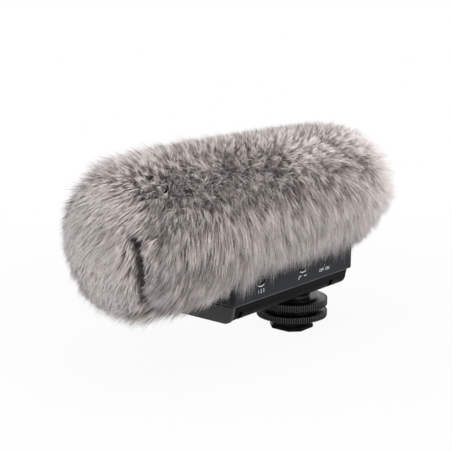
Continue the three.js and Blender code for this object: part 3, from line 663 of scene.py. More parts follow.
def stroke(corners):
    """A pen stroke along points in millimetres."""
    corners = np.array(corners) * MM
    way = np.gradient(corners, axis=0)
    way /= np.linalg.norm(way, axis=1, keepdims=True)
    across = np.stack([-way[:, 1], way[:, 0]], 1) * INK_WIDTH / 2
    edge = np.concatenate([corners + across, (corners - across)[::-1]])
    return mesh_object("stroke", [(x, y, 0) for x, y in edge], [tuple(range(len(edge)))[::-1]])


def arc(first, last, steps):
    """A stroke about a dial, with angles from straight up, towards +Y."""
    turn = np.radians(np.linspace(first, last, steps))
    return stroke([(ARC_REACH * math.sin(a), ARC_REACH * math.cos(a)) for a in turn])


def printed_text(words, drop, size):
    """A text as a plain mesh, centred, and standing at that height."""
    curve = bpy.data.curves.new(words, "FONT")
    curve.body = words
    curve.size = size * MM
    curve.align_x = "CENTER"
    made = baked_down(add_object(words, curve), words)
    made.data.transform(Matrix.Translation((0, drop * MM, 0)))
    return made


def make_print():
    """The print of the three dials, as one coat of ink."""
    pieces = []
    for name, place in DIALS.items():
        drawn = [stroke(corners) for corners in SIGNS.get(name, [])] + [arc(*ARCS[name])]
        if name in WORDS:
            drawn.append(printed_text(*WORDS[name]))
        for piece in drawn:
            piece.data.transform(place)
        pieces += drawn
    made = joined("panel_print", pieces)
    coat = made.modifiers.new("coat", "SOLIDIFY")
    coat.thickness = INK
    coat.offset = 1
    made = baked_down(made, "panel_print")
    made.data.materials.clear()
    made.data.materials.append(pale_ink)
    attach(made, "base")
    return made


def make_rims():
    """A small rounded ring at the edge of each dial's hole."""
    turn = np.linspace(0, 2 * math.pi, RIM_SIDES, endpoint=False)
    profile = [(RIM_REACH + RIM_TUBE * math.cos(a), RIM_TUBE * math.sin(a)) for a in turn]
    rings = []
    for place in DIALS.values():
        rings.append(turned_body("rim", profile, RIM_STEPS))
        rings[-1].data.transform(place)
    rims = joined("dial_rims", rings)
    rims.data.shade_smooth()
    rims.data.materials.append(FINISH_OF_SLOT["black_metal"])
    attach(rims, "base")
    return rims


DIALS = {}
for name in ("pattern", "low_cut", "power"):
    middle = sum(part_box(f"{name}_dial"), Vector()) / 2
    DIALS[name] = onto_panel(middle.y, middle.z)
ink = make_print()
rims = make_rims()
print("faces of the print and the rims:", len(ink.data.polygons), len(rims.data.polygons))

# %% [markdown]
# ## Shape of the fur
#
# The muff is a sleeve of cloth with a long pile. Its cloth lies one pile's depth inside the outline
# of the fur, so both have the same kind of profile: a nearly straight tube with a blunt, rounded
# front and a longer, rounder rear. A superellipse gives that shape with one number for how blunt
# the end is. The profile is drawn from front to rear as pairs of place and reach.

# %% Shape of the fur
SIDE_PILE, FRONT_PILE, REAR_PILE = 9.5 * MM, 4 * MM, 9.5 * MM
FRONT_ROUND, REAR_ROUND = 16 * MM, 44 * MM
FRONT_BLUNT, REAR_BLUNT = 2.4, 3.2
FRONT_TAPER, REAR_TAPER = 2.2 * MM, 3 * MM
SLOT_GAP = 0.5 * MM
SLOT_HALF = case_high.x + SLOT_GAP
SLOT_FRONT, SLOT_REAR = case_low.y - SLOT_GAP, case_high.y + SLOT_GAP
HEM_HEIGHT = 39.6 * MM
DRAWER_WAY_HALF, DRAWER_WAY_FRONT, DRAWER_WAY_HEIGHT = 23.5 * MM, -112 * MM, 30.2 * MM
SHORTEST_HAIR, LONGEST_HAIR, LENGTHS_TRIED = 2 * MM, 17 * MM, 60
DEGREE = math.pi / 180


def smooth(value, low, high, unit=MM):
    """0 below low, 1 above high and a smooth way between. low may be the higher one."""
    t = np.clip((value / unit - low) / (high - low), 0, 1)
    return t * t * (3 - 2 * t)


def reach_at(places, reach, front, rear, front_round, rear_round):
    """How far a blunt-ended tube reaches from its axis at each place. Nothing beyond its ends."""
    share = (places - MUFF_FRONT) / (MUFF_REAR - MUFF_FRONT)
    taper = np.where(share < 0.5, FRONT_TAPER, REAR_TAPER)
    reaches = reach - taper * (2 * share - 1) ** 2
    for way, length, blunt in (
        (places - front, front_round, FRONT_BLUNT),
        (rear - places, rear_round, REAR_BLUNT),
    ):
        part = np.clip(way / length, 0, 1)
        reaches = reaches * (1 - (1 - part) ** blunt) ** (1 / blunt)
    return reaches


def fur_reach(places):
    """The outline of the fur, which most tips of the hair meet."""
    return reach_at(places, MUFF_REACH, MUFF_FRONT, MUFF_REAR, FRONT_ROUND, REAR_ROUND)


def cloth_profile(end_steps, middle_steps):
    """Places along the axis and reaches of the cloth: the outline of the fur less its pile."""
    front, rear = MUFF_FRONT + FRONT_PILE, MUFF_REAR - REAR_PILE
    front_round, rear_round = FRONT_ROUND - FRONT_PILE, REAR_ROUND - REAR_PILE
    step = (1 - np.cos(np.linspace(0, math.pi / 2, end_steps))) ** 1.3
    ahead = front + step * front_round
    behind = rear - step[::-1] * rear_round
    middle = np.linspace(ahead[-1], behind[0], middle_steps + 1)[1:-1]
    places = np.concatenate([ahead, middle, behind])
    return places, reach_at(places, MUFF_REACH - SIDE_PILE, front, rear, front_round, rear_round)


def tube_points(places, reaches, sides):
    """Rings of points round the barrel's axis, from the top towards +X."""
    turn = np.linspace(0, 2 * math.pi, sides, endpoint=False)
    y = np.repeat(places, sides)
    reach = np.repeat(reaches, sides)
    around = np.tile(turn, len(places))
    return np.stack([reach * np.sin(around), y, AXIS_HEIGHT + reach * np.cos(around)], 1), around


print("reach of the cloth, mm:", [round(r / MM, 1) for r in cloth_profile(6, 3)[1]])

# %% [markdown]
# ## Which way the hair lies
#
# Gravity lays the hair down along the sides, on top it leans forward, and handling has combed the
# ends. High on the side is a parting, where the hair is wilder and the dark roots show. Each point
# of the cloth gets a comb vector along the surface, whose length says how far the hair leans: 0 is
# upright, 1 is flat. The numbers follow the fur from place to place, with y from front to rear and
# turn as the angle from the top.

# %% Which way the hair lies
LEFT, FORWARD, DOWN = -np.eye(3)

# Places in millimetres on the seam at the front shoulder, on its branch, and on the seam behind
FRONT_SEAM = np.array([(14, -123.9, 68), (14.9, -123.7, 65.5), (15.8, -123.4, 63), (16, -123, 57),
                       (15, -121, 49), (13, -118, 43.5), (12, -114, 41)]) * MM
SEAM_BRANCH = np.array([(15, -123.4, 65.5), (21, -118, 71)]) * MM
REAR_SEAM = np.array([(3.5, -3, 88), (10.6, 4, 86), (14.3, 8, 84), (18.6, 17, 80), (23, 18, 73),
                      (24, 22, 70)]) * MM
WAVES = 14


def column(values):
    """One number for each point, shaped so that it scales vectors."""
    return np.asarray(values).reshape(-1, 1)


def along_surface(directions, normal):
    return directions - column((directions * normal).sum(1)) * normal


def hills(points, size, seed):
    """Smooth random hills and hollows, about -1 to 1, from a sum of waves."""
    random = np.random.default_rng(seed)
    total = np.zeros(len(points))
    for _ in range(WAVES):
        way = random.normal(size=3)
        way *= random.uniform(0.6, 1.4) / np.linalg.norm(way)
        total += np.sin(points @ way * (2 * math.pi / size) + random.uniform(0, 2 * math.pi))
    return total / math.sqrt(WAVES)


def distance_to(points, line):
    """Distance from each point to a broken line, and whether it lies on its +X side."""
    best = np.full(len(points), np.inf)
    right = np.zeros(len(points))
    for a, b in zip(line[:-1], line[1:]):
        way = b - a
        t = np.clip((points - a) @ way / (way @ way), 0, 1)
        offset = points - a - column(t) * way
        gap = np.linalg.norm(offset, axis=1)
        right = np.where(gap < best, offset[:, 0] > 0, right)
        best = np.minimum(gap, best)
    return best, right


def seam_gaps(points):
    """Distances to the front seam, to its branch and to the rear seam."""
    return [distance_to(points, line)[0] for line in (FRONT_SEAM, SEAM_BRANCH, REAR_SEAM)]


def wind_over(points, normal, turn):
    """The comb vector of each point: a wind over the muff, laid along its cloth."""
    y, z = points[:, 1], points[:, 2]
    crest = smooth(turn, 30, 8, DEGREE)
    upper = 0.82 + 0.06 * smooth(y, -75, -40) - (0.25 + 0.3 * smooth(y, -110, -60)) * crest
    upper -= 0.45 * smooth(y, -45, 5) * smooth(turn, 30, 62, DEGREE)
    upper -= 0.6 * smooth(y, -55, -10) * smooth(turn, 58, 36, DEGREE) * (1 - 0.5 * crest)
    lower = 0.32 + 0.4 * smooth(y, -60, -108)
    side = smooth(turn, 55, 84, DEGREE)
    forward = upper * (1 - side) + lower * side
    forward += 0.25 * smooth(turn, 85, 110, DEGREE) * smooth(y, -70, -95)
    fall = 0.8 - 0.16 * smooth(turn, 66, 48, DEGREE) * smooth(y, -30, -60)
    body = column(fall) * DOWN + column(forward) * FORWARD
    slope = (24 + 16 * smooth(z, 92, 78) + 34 * smooth(z, 84, 45)) * DEGREE
    front = 0.86 * (column(np.cos(slope)) * LEFT + column(np.sin(slope)) * DOWN) + 0.3 * FORWARD
    cap = column(smooth(-normal[:, 1], 0.45, 0.85, 1))
    wind = body * (1 - cap) + front * cap
    for size, amount in ((24 * MM, 0.08), (6 * MM, 0.09)):
        wind = wind + amount * np.stack([hills(points, size, seed) for seed in (1, 2, 3)], 1)
    return along_surface(wind, normal)


print("seams:", len(FRONT_SEAM) + len(REAR_SEAM), "points")

# %% [markdown]
# ## How long and how light the hair is
#
# A hair ends where it meets the outline of the fur. It is short along the seams, where painted shade
# darkens it for the crease, and it stays clear of the dials and of the drawer's way. tone is how light
# a hair is, from its own colour and from painted light and shade; spread is how unlike its neighbours,
# wild how far it strays from the comb, and fill how thickly the cloth is planted.

# %% How long and how light the hair is
def length_to_outline(points, way):
    """Length at which the tip of a hair that grows that way meets the outline of the fur."""
    lengths = np.linspace(SHORTEST_HAIR, LONGEST_HAIR, LENGTHS_TRIED)
    tips = points[:, None] + lengths[None, :, None] * way[:, None]
    reach = np.hypot(tips[..., 0], tips[..., 2] - AXIS_HEIGHT)
    inside = (reach < fur_reach(tips[..., 1])).sum(1)
    return lengths[np.minimum(inside, len(lengths) - 1)]


def hem_drop(y):
    """How much lower than its middle the hem hangs: most at the front of the case."""
    return 3.2 * MM * smooth(y, -54, -74) - 0.8 * MM


def near_slot(points, side, front, rear):
    """Which points lie within the slot's outline in plan, grown by these lengths in millimetres."""
    x, y, _ = points.T
    return (np.abs(x) < SLOT_HALF + side * MM) & (y > SLOT_FRONT - front * MM) & (y < SLOT_REAR + rear * MM)


def lowest_tip(points):
    """How low a hair may hang: clear of the dials on the case, and of the drawer's way."""
    x, y, _ = points.T
    beside = near_slot(points, np.inf, 2, 2)
    before = (np.abs(x) < DRAWER_WAY_HALF) & (y > DRAWER_WAY_FRONT) & (y <= SLOT_FRONT + 1 * MM)
    over_drawer = DRAWER_WAY_HEIGHT + 1.3 * MM * smooth(np.abs(x), 22, 17) * smooth(y, -100, -95)
    over_dials = HEM_HEIGHT - hem_drop(y) + 0.8 * MM * hills(points, 5 * MM, 21)
    return np.where(before, over_drawer, np.where(beside, over_dials, 0))


def comb_of(points, normal, around):
    """Comb vector, pile length, tone, wildness, spread of tones and fill of each point of the cloth."""
    _, y, z = points.T
    turn = np.abs((around + math.pi) % (2 * math.pi) - math.pi)
    cap = smooth(-normal[:, 1], 0.25, 0.85, 1)
    behind = smooth(y, 10, 38)
    side = smooth(turn, 60, 85, DEGREE)
    top = smooth(turn, 30, 12, DEGREE)
    under = smooth(turn, 85, 112, DEGREE)
    _, right = distance_to(points, FRONT_SEAM)
    gap, branch, rear = seam_gaps(points)
    lip = smooth(gap, np.where(right, 5.2, 3.5), 1)

    comb = wind_over(points, normal, turn)
    comb += along_surface(column(smooth(gap, 4, 0) * (1 - right)) * 0.3 * LEFT, normal)
    flat = 0.85 + 0.08 * np.maximum(cap, smooth(turn, 35, 62, DEGREE)) - 0.3 * behind
    comb *= column(np.minimum(1, flat / np.maximum(np.linalg.norm(comb, axis=1), 1e-6)))
    way = normal * column(np.sqrt(1 - (comb ** 2).sum(1))) + comb

    pile = length_to_outline(points, way) * (1.04 - 0.12 * smooth(y, -90, -115) * smooth(z, 42, 58))
    pile = np.where(right, np.minimum(pile, 1.5 * MM + gap), pile)
    over = (z > 70 * MM) & (branch < 7 * MM)
    pile = np.where(over, np.minimum(pile, 3 * MM + 1.5 * branch), pile)
    pile *= 1 - 0.8 * lip - 0.55 * smooth(rear, 5, 0)
    pile *= 1 - 0.5 * smooth(branch, 2.5, 0)
    fall = np.maximum(-way[:, 2], 0.05)
    pile = np.minimum(pile, np.maximum((z - lowest_tip(points)) / fall, SHORTEST_HAIR))
    pile *= 1 - 0.25 * under * smooth(y, 5, 30)

    streaks = hills(points * (1, 1, 0.3), 5 * MM, 8)
    tone = 0.6 + 0.2 * side + 0.1 * hills(points, 16 * MM, 5) + (0.08 + 0.14 * side) * (1 - cap) * streaks
    tone += 0.36 * smooth(y, -75, 5) * (1 - 0.7 * top) + 0.2 * smooth(y, 10, 40)
    tone += (0.08 - 0.32 * smooth(y, -100, -60)) * top
    # Painted light: the terms of side and under make the lower side and the underside lighter towards the
    # front, for hair there that hangs facing down.
    tone += 0.3 * cap + (0.22 * side + 0.5 * under) * smooth(y, -105, -60)
    # Painted shade: darker along the parting high on the side, where the view runs deep into the pile.
    tone -= 0.14 * smooth(np.abs(turn - 52 * DEGREE), 30, 0, DEGREE) * (1 - cap)
    # Painted shade: the hair is darker along the seams and the branch, for the shadow in their creases, and
    # a little darker right of the front seam.
    tone -= 1.1 * lip + 0.45 * smooth(branch, 2, 0) + 0.85 * smooth(rear, 5.5, 0)
    tone -= 0.25 * right * smooth(gap, 14, 4)

    spread = 1.1 - 0.45 * cap - 0.5 * behind + 0.7 * (1 - cap) * smooth(turn, 20, 50, DEGREE) * (1 - behind)
    parting = smooth(np.abs(turn - 50 * DEGREE), 32, 0, DEGREE)
    wild = 0.5 + (1 - cap) * (0.5 + 0.7 * parting) + 0.5 * behind
    fill = 1.0 - near_slot(points, 0.4, 1, 1) * (z < AXIS_HEIGHT)
    return {"comb": comb, "pile": pile, "tone": tone, "wild": wild, "spread": spread, "fill": fill}


print("the hem drops by, mm:", [round(float(hem_drop(y * MM)) / MM, 1) for y in (-80, -40)])

# %% [markdown]
# ## The cloth under the pile
#
# The sleeve itself shows only between the hairs and from below, as a thin knitted backing with a
# padded lining. It is one closed shell: an outside, an inside that follows the foam and the
# cradles, and an opening underneath for the case, cut by a box. It stands for the solid muff of the
# frame.

# %% The cloth under the pile
SEAM_DEPTH = 2.5 * MM
CLOTH_SIDES, CAVITY_SIDES = 96, 64
KNIT_ROW, KNIT_COLUMNS = 0.9 * MM, 180.0
CAVITY_REACH = FOAM_REACH + 0.6 * MM
CAVITY_FRONT, CAVITY_REAR, CAVITY_SHOULDER = foam_low.y - 0.8 * MM, 36 * MM, 6 * MM
LEG_ROOM_HALF = 9 * MM


def cloth_finish():
    def describe(tree):
        x, y, z = tree.split(tree.object_place())
        turn = tree.maths("ARCTAN2", x, z - AXIS_HEIGHT)
        rows = tree.maths("SINE", y * (2 * math.pi / KNIT_ROW))
        columns = tree.maths("SINE", turn * KNIT_COLUMNS)
        knit = rows * columns
        stops = [(0.2, (0.03, 0.024, 0.022)), (0.8, (0.07, 0.058, 0.052))]
        return {
            "Base Color": tree.ramp(knit * 0.5 + 0.5, stops),
            "Roughness": 0.95,
            "Normal": tree.bump(knit, 0.12 * MM),
        }

    return finish("knitted backing", describe)


def press_seams(points, normal):
    """Draws the cloth in along its seams."""
    gap, branch, rear = seam_gaps(points)
    pull = smooth(gap, 6, 0) + 0.5 * smooth(branch, 5, 0) + 0.5 * smooth(rear, 6, 0)
    return points - normal * column(np.minimum(pull, 1) * SEAM_DEPTH)


def tube_normals(places, reaches, sides):
    """Outward directions of a tube's points, from the slope of its profile."""
    along = np.gradient(places)
    across = np.gradient(reaches)
    size = np.hypot(along, across) + 1e-12
    turn = np.linspace(0, 2 * math.pi, sides, endpoint=False)
    out = np.repeat(along / size, sides)
    back = np.repeat(-across / size, sides)
    around = np.tile(turn, len(places))
    return np.stack([out * np.sin(around), back, out * np.cos(around)], 1)


def closed_tube(name, places, reaches, sides):
    """A closed round body with a point at each end."""
    rings, _ = tube_points(places[1:-1], reaches[1:-1], sides)
    count = len(places) - 2
    tips = np.array([(0, places[0], AXIS_HEIGHT), (0, places[-1], AXIS_HEIGHT)])
    vertices = np.concatenate([rings, tips])
    faces = [tuple(f) for f in ring_faces(count, sides, flip=True)]
    first, last = count * sides, count * sides + 1
    for j in range(sides):
        k = (j + 1) % sides
        faces.append((first, j, k))
        faces.append((last, (count - 1) * sides + k, (count - 1) * sides + j))
    return mesh_object(name, vertices, faces)


def cutter_box(name, low, high):
    corners = [(x, y, z) for x in (low[0], high[0]) for y in (low[1], high[1]) for z in (low[2], high[2])]
    faces = [(0, 1, 3, 2), (4, 6, 7, 5), (0, 4, 5, 1), (2, 3, 7, 6), (0, 2, 6, 4), (1, 5, 7, 3)]
    return mesh_object(name, corners, faces)


def make_cloth():
    places, reaches = cloth_profile(12, 40)
    outside = closed_tube("cloth outside", places, reaches, CLOTH_SIDES)
    normal = np.array([v.normal for v in outside.data.vertices])
    move_points(outside, press_seams(points_of(outside), normal))
    inner_places = np.array([
        CAVITY_FRONT, CAVITY_FRONT, foam_low.y + CAVITY_SHOULDER, CAVITY_REAR, CAVITY_REAR])
    inner_reaches = np.array([0, CAVITY_REACH - CAVITY_SHOULDER, CAVITY_REACH, CAVITY_REACH, 0])
    cavity = closed_tube("cavity", inner_places, inner_reaches, CAVITY_SIDES)
    slot_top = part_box("lid_screw_front_left")[1].z + SLOT_GAP
    slot = cutter_box("slot", (-SLOT_HALF, SLOT_FRONT, 0), (SLOT_HALF, SLOT_REAR, slot_top))
    legs = cutter_box(
        "legs", (-LEG_ROOM_HALF, SLOT_FRONT, slot_top - 1 * MM), (LEG_ROOM_HALF, SLOT_REAR, AXIS_HEIGHT))
    for cutter in (cavity, slot, legs):
        modifier = outside.modifiers.new(cutter.name, "BOOLEAN")
        modifier.operation = "DIFFERENCE"
        modifier.object = cutter
        modifier.solver = "EXACT"
    cloth = baked_down(outside, "muff_cloth")
    for cutter in (cavity, slot, legs):
        bpy.data.objects.remove(cutter)
    cloth.data.materials.clear()
    cloth.data.materials.append(cloth_finish())
    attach(cloth, "base")
    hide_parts("fur_muff")
    return cloth


cloth = make_cloth()
print("cloth faces:", len(cloth.data.polygons))

# %% [markdown]
# ## The hair
#
# A hair is a slim cone with three sides, bent by the comb of the cloth where it grows. More than a
# hundred thousand of them are planted by one tree of Geometry Nodes: it scatters points on the
# cloth, puts a cone on each, and then moves every vertex of every cone along its hair's own curve.
# Hairs near each other lean towards the middle of their tuft, which gives the pointed locks of real
# fur, and shows the dark roots between them.

# %% The hair's colour
def fur_finish():
    """Root to tip is V of the hair's own map, and its shade is U."""

    def describe(tree):
        place = tree.shader("UVMap", uv_map="OFBake")
        shade, along, _ = tree.split(place)
        # Both ramps darken towards the root: partly the fur's own colour, partly painted shade deep in the
        # pile between the hairs.
        dark = tree.ramp(along, [
            (0.0, (0.03, 0.023, 0.02)), (0.4, (0.085, 0.065, 0.058)),
            (0.75, (0.20, 0.158, 0.146)), (1.0, (0.33, 0.275, 0.258)),
        ])
        light = tree.ramp(along, [
            (0.0, (0.22, 0.18, 0.165)), (0.35, (0.66, 0.58, 0.55)),
            (0.7, (0.95, 0.88, 0.855)), (1.0, (0.99, 0.945, 0.925)),
        ])
        return {
            "Base Color": tree.mix(shade, dark, light),
            "Roughness": 0.62,
            "Specular IOR Level": 0.25,
            "Sheen Weight": 0.4,
            "Sheen Roughness": 0.4,
        }

    return finish("fur", describe)


fur = fur_finish()
print("nodes in the fur's finish:", len(fur.node_tree.nodes))

# %% [markdown]
# The tree first plants: it stores on each root all that the hair needs. Then it bends the cones.
# Its random numbers come from fixed seeds, so the fur is the same each time.

# %% The tree that plants the hair
VECTOR = "FLOAT_VECTOR"


def hair_tree():
    inputs = dict.fromkeys((
        "Hairs per square metre", "Tufts per square metre", "Hair half width",
        "Pull of the tuft", "Stray of a tuft", "Stray of a hair"), "Float")
    inputs |= {"Seed": "Int", "Finish": "Material"}
    tree, given = modifier_tree("hair on cloth", "Cloth", inputs)
    setting = given.other

    def named(name, kind="FLOAT"):
        return tree.geometry("InputNamedAttribute", {"Name": name}, data_type=kind)

    def keep(shape, name, value, kind="FLOAT", domain="POINT"):
        inputs = {"Geometry": shape, "Name": name, "Value": value}
        return tree.geometry("StoreNamedAttribute", inputs, data_type=kind, domain=domain)

    def chance(low, high, seed, kind="FLOAT"):
        inputs = {"Min": low, "Max": high, "Seed": setting("Seed") + seed}
        return tree.node("FunctionNodeRandomValue", inputs, data_type=kind)

    def scattered(density, seed):
        inputs = {"Mesh": given, "Density": density * named("fill"), "Seed": setting("Seed") + seed}
        return tree.geometry("DistributePointsOnFaces", inputs)

    here = tree.geometry("InputPosition")
    tufts = scattered(setting("Tufts per square metre"), 10)
    roots = scattered(setting("Hairs per square metre"), 20)
    nearest = tree.geometry("SampleNearest", {"Geometry": tufts}, domain="POINT")

    def of_tuft(value, kind="FLOAT"):
        inputs = {"Geometry": tufts, "Value": value, "Index": nearest}
        return tree.geometry("SampleIndex", inputs, data_type=kind, domain="POINT")

    heart = of_tuft(here, VECTOR) - here
    stray = of_tuft(chance(-1.0, 1.0, 1, VECTOR), VECTOR) * setting("Stray of a tuft")
    stray = stray + chance(-1.0, 1.0, 4, VECTOR) * setting("Stray of a hair")
    lean = named("comb", VECTOR) + stray * named("wild")
    out = roots.other("Normal")
    outwards = tree.maths("DOT_PRODUCT", lean, out)
    tuft_shade = of_tuft(chance(-1.0, 1.0, 2))
    shade = named("tone") + (tuft_shade * 0.75 + chance(-0.25, 0.25, 5)) * named("spread")
    reach = named("pile") * of_tuft(chance(0.82, 1.06, 3)) * chance(0.88, 1.06, 6)
    points = keep(roots, "root", here, VECTOR)
    points = keep(points, "out", out, VECTOR)
    points = keep(points, "lean", lean - out * outwards, VECTOR)
    points = keep(points, "heart", heart, VECTOR)
    points = keep(points, "reach", reach)
    points = keep(points, "shade", tree.limits(shade, 0.0, 1.0))
    points = keep(points, "wide", chance(0.7, 1.25, 7))

    cone_inputs = {"Vertices": 3, "Side Segments": 2, "Radius Top": 0.0, "Radius Bottom": 1.0, "Depth": 1.0}
    cone = tree.geometry("MeshCone", cone_inputs)
    cone_x, cone_y, cone_z = tree.split(here)
    cone = keep(cone, "along", cone_z)
    cone = keep(cone, "round", tree.vector(cone_x, cone_y), VECTOR)
    hairs = tree.geometry("InstanceOnPoints", {"Points": points, "Instance": cone})
    hairs = tree.geometry("RealizeInstances", {"Geometry": hairs})

    # Along each hair t runs from 0 at the root to 1 at the tip
    t = named("along")
    out, lean = named("out", VECTOR), named("lean", VECTOR)
    lean_size = tree.maths("MINIMUM", tree.maths("LENGTH", lean), 0.97)
    rise = tree.maths("SQRT", 1.0 - lean_size * lean_size)
    path = out * (rise * (t * 1.5 - t * t * 0.5)) + lean * (t * 0.35 + t * t * 0.65)
    heading = out * (rise * (1.5 - t)) + lean * (t * 1.3 + 0.35)
    side = tree.maths("NORMALIZE", tree.maths("CROSS_PRODUCT", out, lean + (0.001, 0.002, 0.003)))
    front = tree.maths("NORMALIZE", tree.maths("CROSS_PRODUCT", side, heading))
    round_x, round_y, _ = tree.split(named("round", VECTOR))
    width = setting("Hair half width") * named("wide") * (t + 1.0)
    place = named("root", VECTOR) + path * named("reach")
    place = place + named("heart", VECTOR) * (t ** 1.5 * setting("Pull of the tuft"))
    place = place + (side * round_x + front * round_y) * width
    hairs = tree.geometry("SetPosition", {"Geometry": hairs, "Position": place})

    # U of the map is the shade, a little apart for each side of the hair, so that its faces have an area
    across = named("shade") * 0.94 + 0.03 + (round_x + round_y * 0.5) * 0.012
    hairs = keep(hairs, "OFBake", tree.vector(across, t), "FLOAT2", "CORNER")
    hairs = tree.geometry("SetShadeSmooth", {"Geometry": hairs, "Shade Smooth": True})
    hairs = tree.geometry("SetMaterial", {"Geometry": hairs, "Material": setting("Finish")})
    tree.node("NodeGroupOutput", {"Geometry": hairs})
    return tree.tree


hair_nodes = hair_tree()
print("nodes in the hair tree:", len(hair_nodes.nodes))

# %% [markdown]
# The cloth is planted in bands along the barrel, so that each band is a piece of its own that
# other programs can still handle, and the strip along the slot gets more hair that hangs down. A
# band's mesh holds the comb, the pile and so on as attributes, which the tree reads by name. After
# it has run, its result is kept as a plain mesh.

# %% Plant the hair
PLANT_SIDES, END_STEPS, MIDDLE_STEPS = 150, 16, 70
HAIRS_IN_A_PIECE, FIRST_SEED = 18800, 40
HAIR_SETTINGS = {
    "Tufts per square metre": 1.15e6,
    "Hair half width": 0.15 * MM,
    "Pull of the tuft": 0.9,
    "Stray of a tuft": 0.2,
    "Stray of a hair": 0.07,
    "Finish": fur,
}
HEM_HAIR_SETTINGS = {
    "Hairs per square metre": 4.4e6,
    "Tufts per square metre": 0.8e6,
    "Hair half width": 0.18 * MM,
    "Pull of the tuft": 0.9,
    "Stray of a tuft": 0.08,
    "Stray of a hair": 0.04,
    "Seed": 90,
}
# The hem hair's tone is high partly as painted light, for hair that hangs facing down, away from the lamps.
HEM_HAIR_TIP, HEM_HAIR_TONE, HEM_HAIR_SPREAD = 37.5 * MM, 0.9, 1.4
POLE_REACH = 0.3 * MM
BANDS = 8
HAIR_ATTRIBUTES = ("root", "out", "lean", "heart", "reach", "shade", "wide", "along", "round")


def planting_ground():
    """Points and faces of the cloth's outside, with what grows there as pile and at the hem."""
    places, reaches = cloth_profile(END_STEPS, MIDDLE_STEPS)
    reaches = np.maximum(reaches, POLE_REACH)
    points, around = tube_points(places, reaches, PLANT_SIDES)
    normal = tube_normals(places, reaches, PLANT_SIDES)
    growth = comb_of(points, normal, around)
    x, y, z = points.T
    ahead = smooth(y, -62, -72)
    beside = near_slot(points, 2.2 + ahead, 1, -9)
    before = near_slot(points, -2, 2.5, 0) & (y <= SLOT_FRONT)
    hanging = 0.98 * DOWN + 0.16 * FORWARD + column(-0.07 * np.sign(x)) * LEFT
    pile = z - HEM_HAIR_TIP + hem_drop(y) + 1.4 * MM * hills(points, 5 * MM, 31)
    at_hem = {
        "comb": along_surface(hanging, normal),
        "pile": np.maximum(pile, SHORTEST_HAIR),
        "tone": np.full(len(points), HEM_HAIR_TONE),
        "wild": np.ones(len(points)),
        "spread": np.full(len(points), HEM_HAIR_SPREAD),
        "fill": growth["fill"] * (beside | before) * (z < AXIS_HEIGHT) * (0.85 + 0.15 * ahead),
    }
    faces = ring_faces(len(places), PLANT_SIDES, flip=True)
    return press_seams(points, normal), faces, growth, at_hem


def face_areas(points, faces):
    a, b, c, d = (points[faces[:, i]] for i in range(4))
    return np.linalg.norm(np.cross(c - a, d - b), axis=1) / 2


def add_attribute(mesh, name, values):
    vector = values.ndim == 2
    attribute = mesh.attributes.new(name, "FLOAT_VECTOR" if vector else "FLOAT", "POINT")
    attribute.data.foreach_set("vector" if vector else "value", values.astype(np.float32).ravel())


def plant(name, points, faces, growth, settings):
    """Hair on the chosen faces, as a plain mesh that rides on the base."""
    used, index = np.unique(faces, return_inverse=True)
    ground = mesh_object(f"ground of {name}", points[used], index.reshape(faces.shape))
    for attribute, values in growth.items():
        add_attribute(ground.data, attribute, values[used])
    use_tree(ground, hair_nodes, {**HAIR_SETTINGS, **settings})
    piece = baked_down(ground, name)
    for attribute in (*HAIR_ATTRIBUTES, *growth):
        found = piece.data.attributes.get(attribute)
        if found is not None:
            piece.data.attributes.remove(found)
    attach(piece, "base")
    return piece


def plant_hair():
    points, faces, growth, at_hem = planting_ground()
    area = face_areas(points, faces) * growth["fill"][faces].mean(1)
    total = np.cumsum(area) / area.sum()
    density = HAIRS_IN_A_PIECE * BANDS / area.sum()
    made = []
    for band in range(BANDS):
        chosen = faces[(total > band / BANDS) & (total <= (band + 1) / BANDS)]
        settings = {"Hairs per square metre": density, "Seed": FIRST_SEED + band}
        made.append(plant(f"fur_band_{band + 1}", points, chosen, growth, settings))
    chosen = faces[at_hem["fill"][faces].mean(1) > 0]
    made.append(plant("fur_hem_hair", points, chosen, at_hem, HEM_HAIR_SETTINGS))
    return made


fur_pieces = plant_hair()
triangles = [sum(len(face.vertices) - 2 for face in piece.data.polygons) for piece in fur_pieces]
print("triangles in each piece of fur:", triangles)

# %% [markdown]
# ## The foam under the fur
#
# Open cell foam is a soft, slightly uneven body whose skin is full of small pores. The body is a
# round profile with small hills, and the pores are a cell pattern in the bump.

# %% The foam under the fur
FOAM_NOSE, FOAM_RINGS, FOAM_SIDES = 9 * MM, 40, 72
FOAM_PORE, FOAM_HILL, FOAM_DENT, FOAM_UNEVEN = 0.8 * MM, 8 * MM, 0.25 * MM, 0.2 * MM


def foam_finish():
    def describe(tree):
        inputs = {"Vector": tree.object_place(), "Scale": 1 / FOAM_PORE}
        cells = tree.shader("TexVoronoi", inputs)
        return {
            "Base Color": tree.ramp(cells, [(0.1, grey(0.012)), (0.7, grey(0.045))]),
            "Roughness": 0.97,
            "Normal": tree.bump(cells, 0.3 * MM),
        }

    return finish("foam", describe)


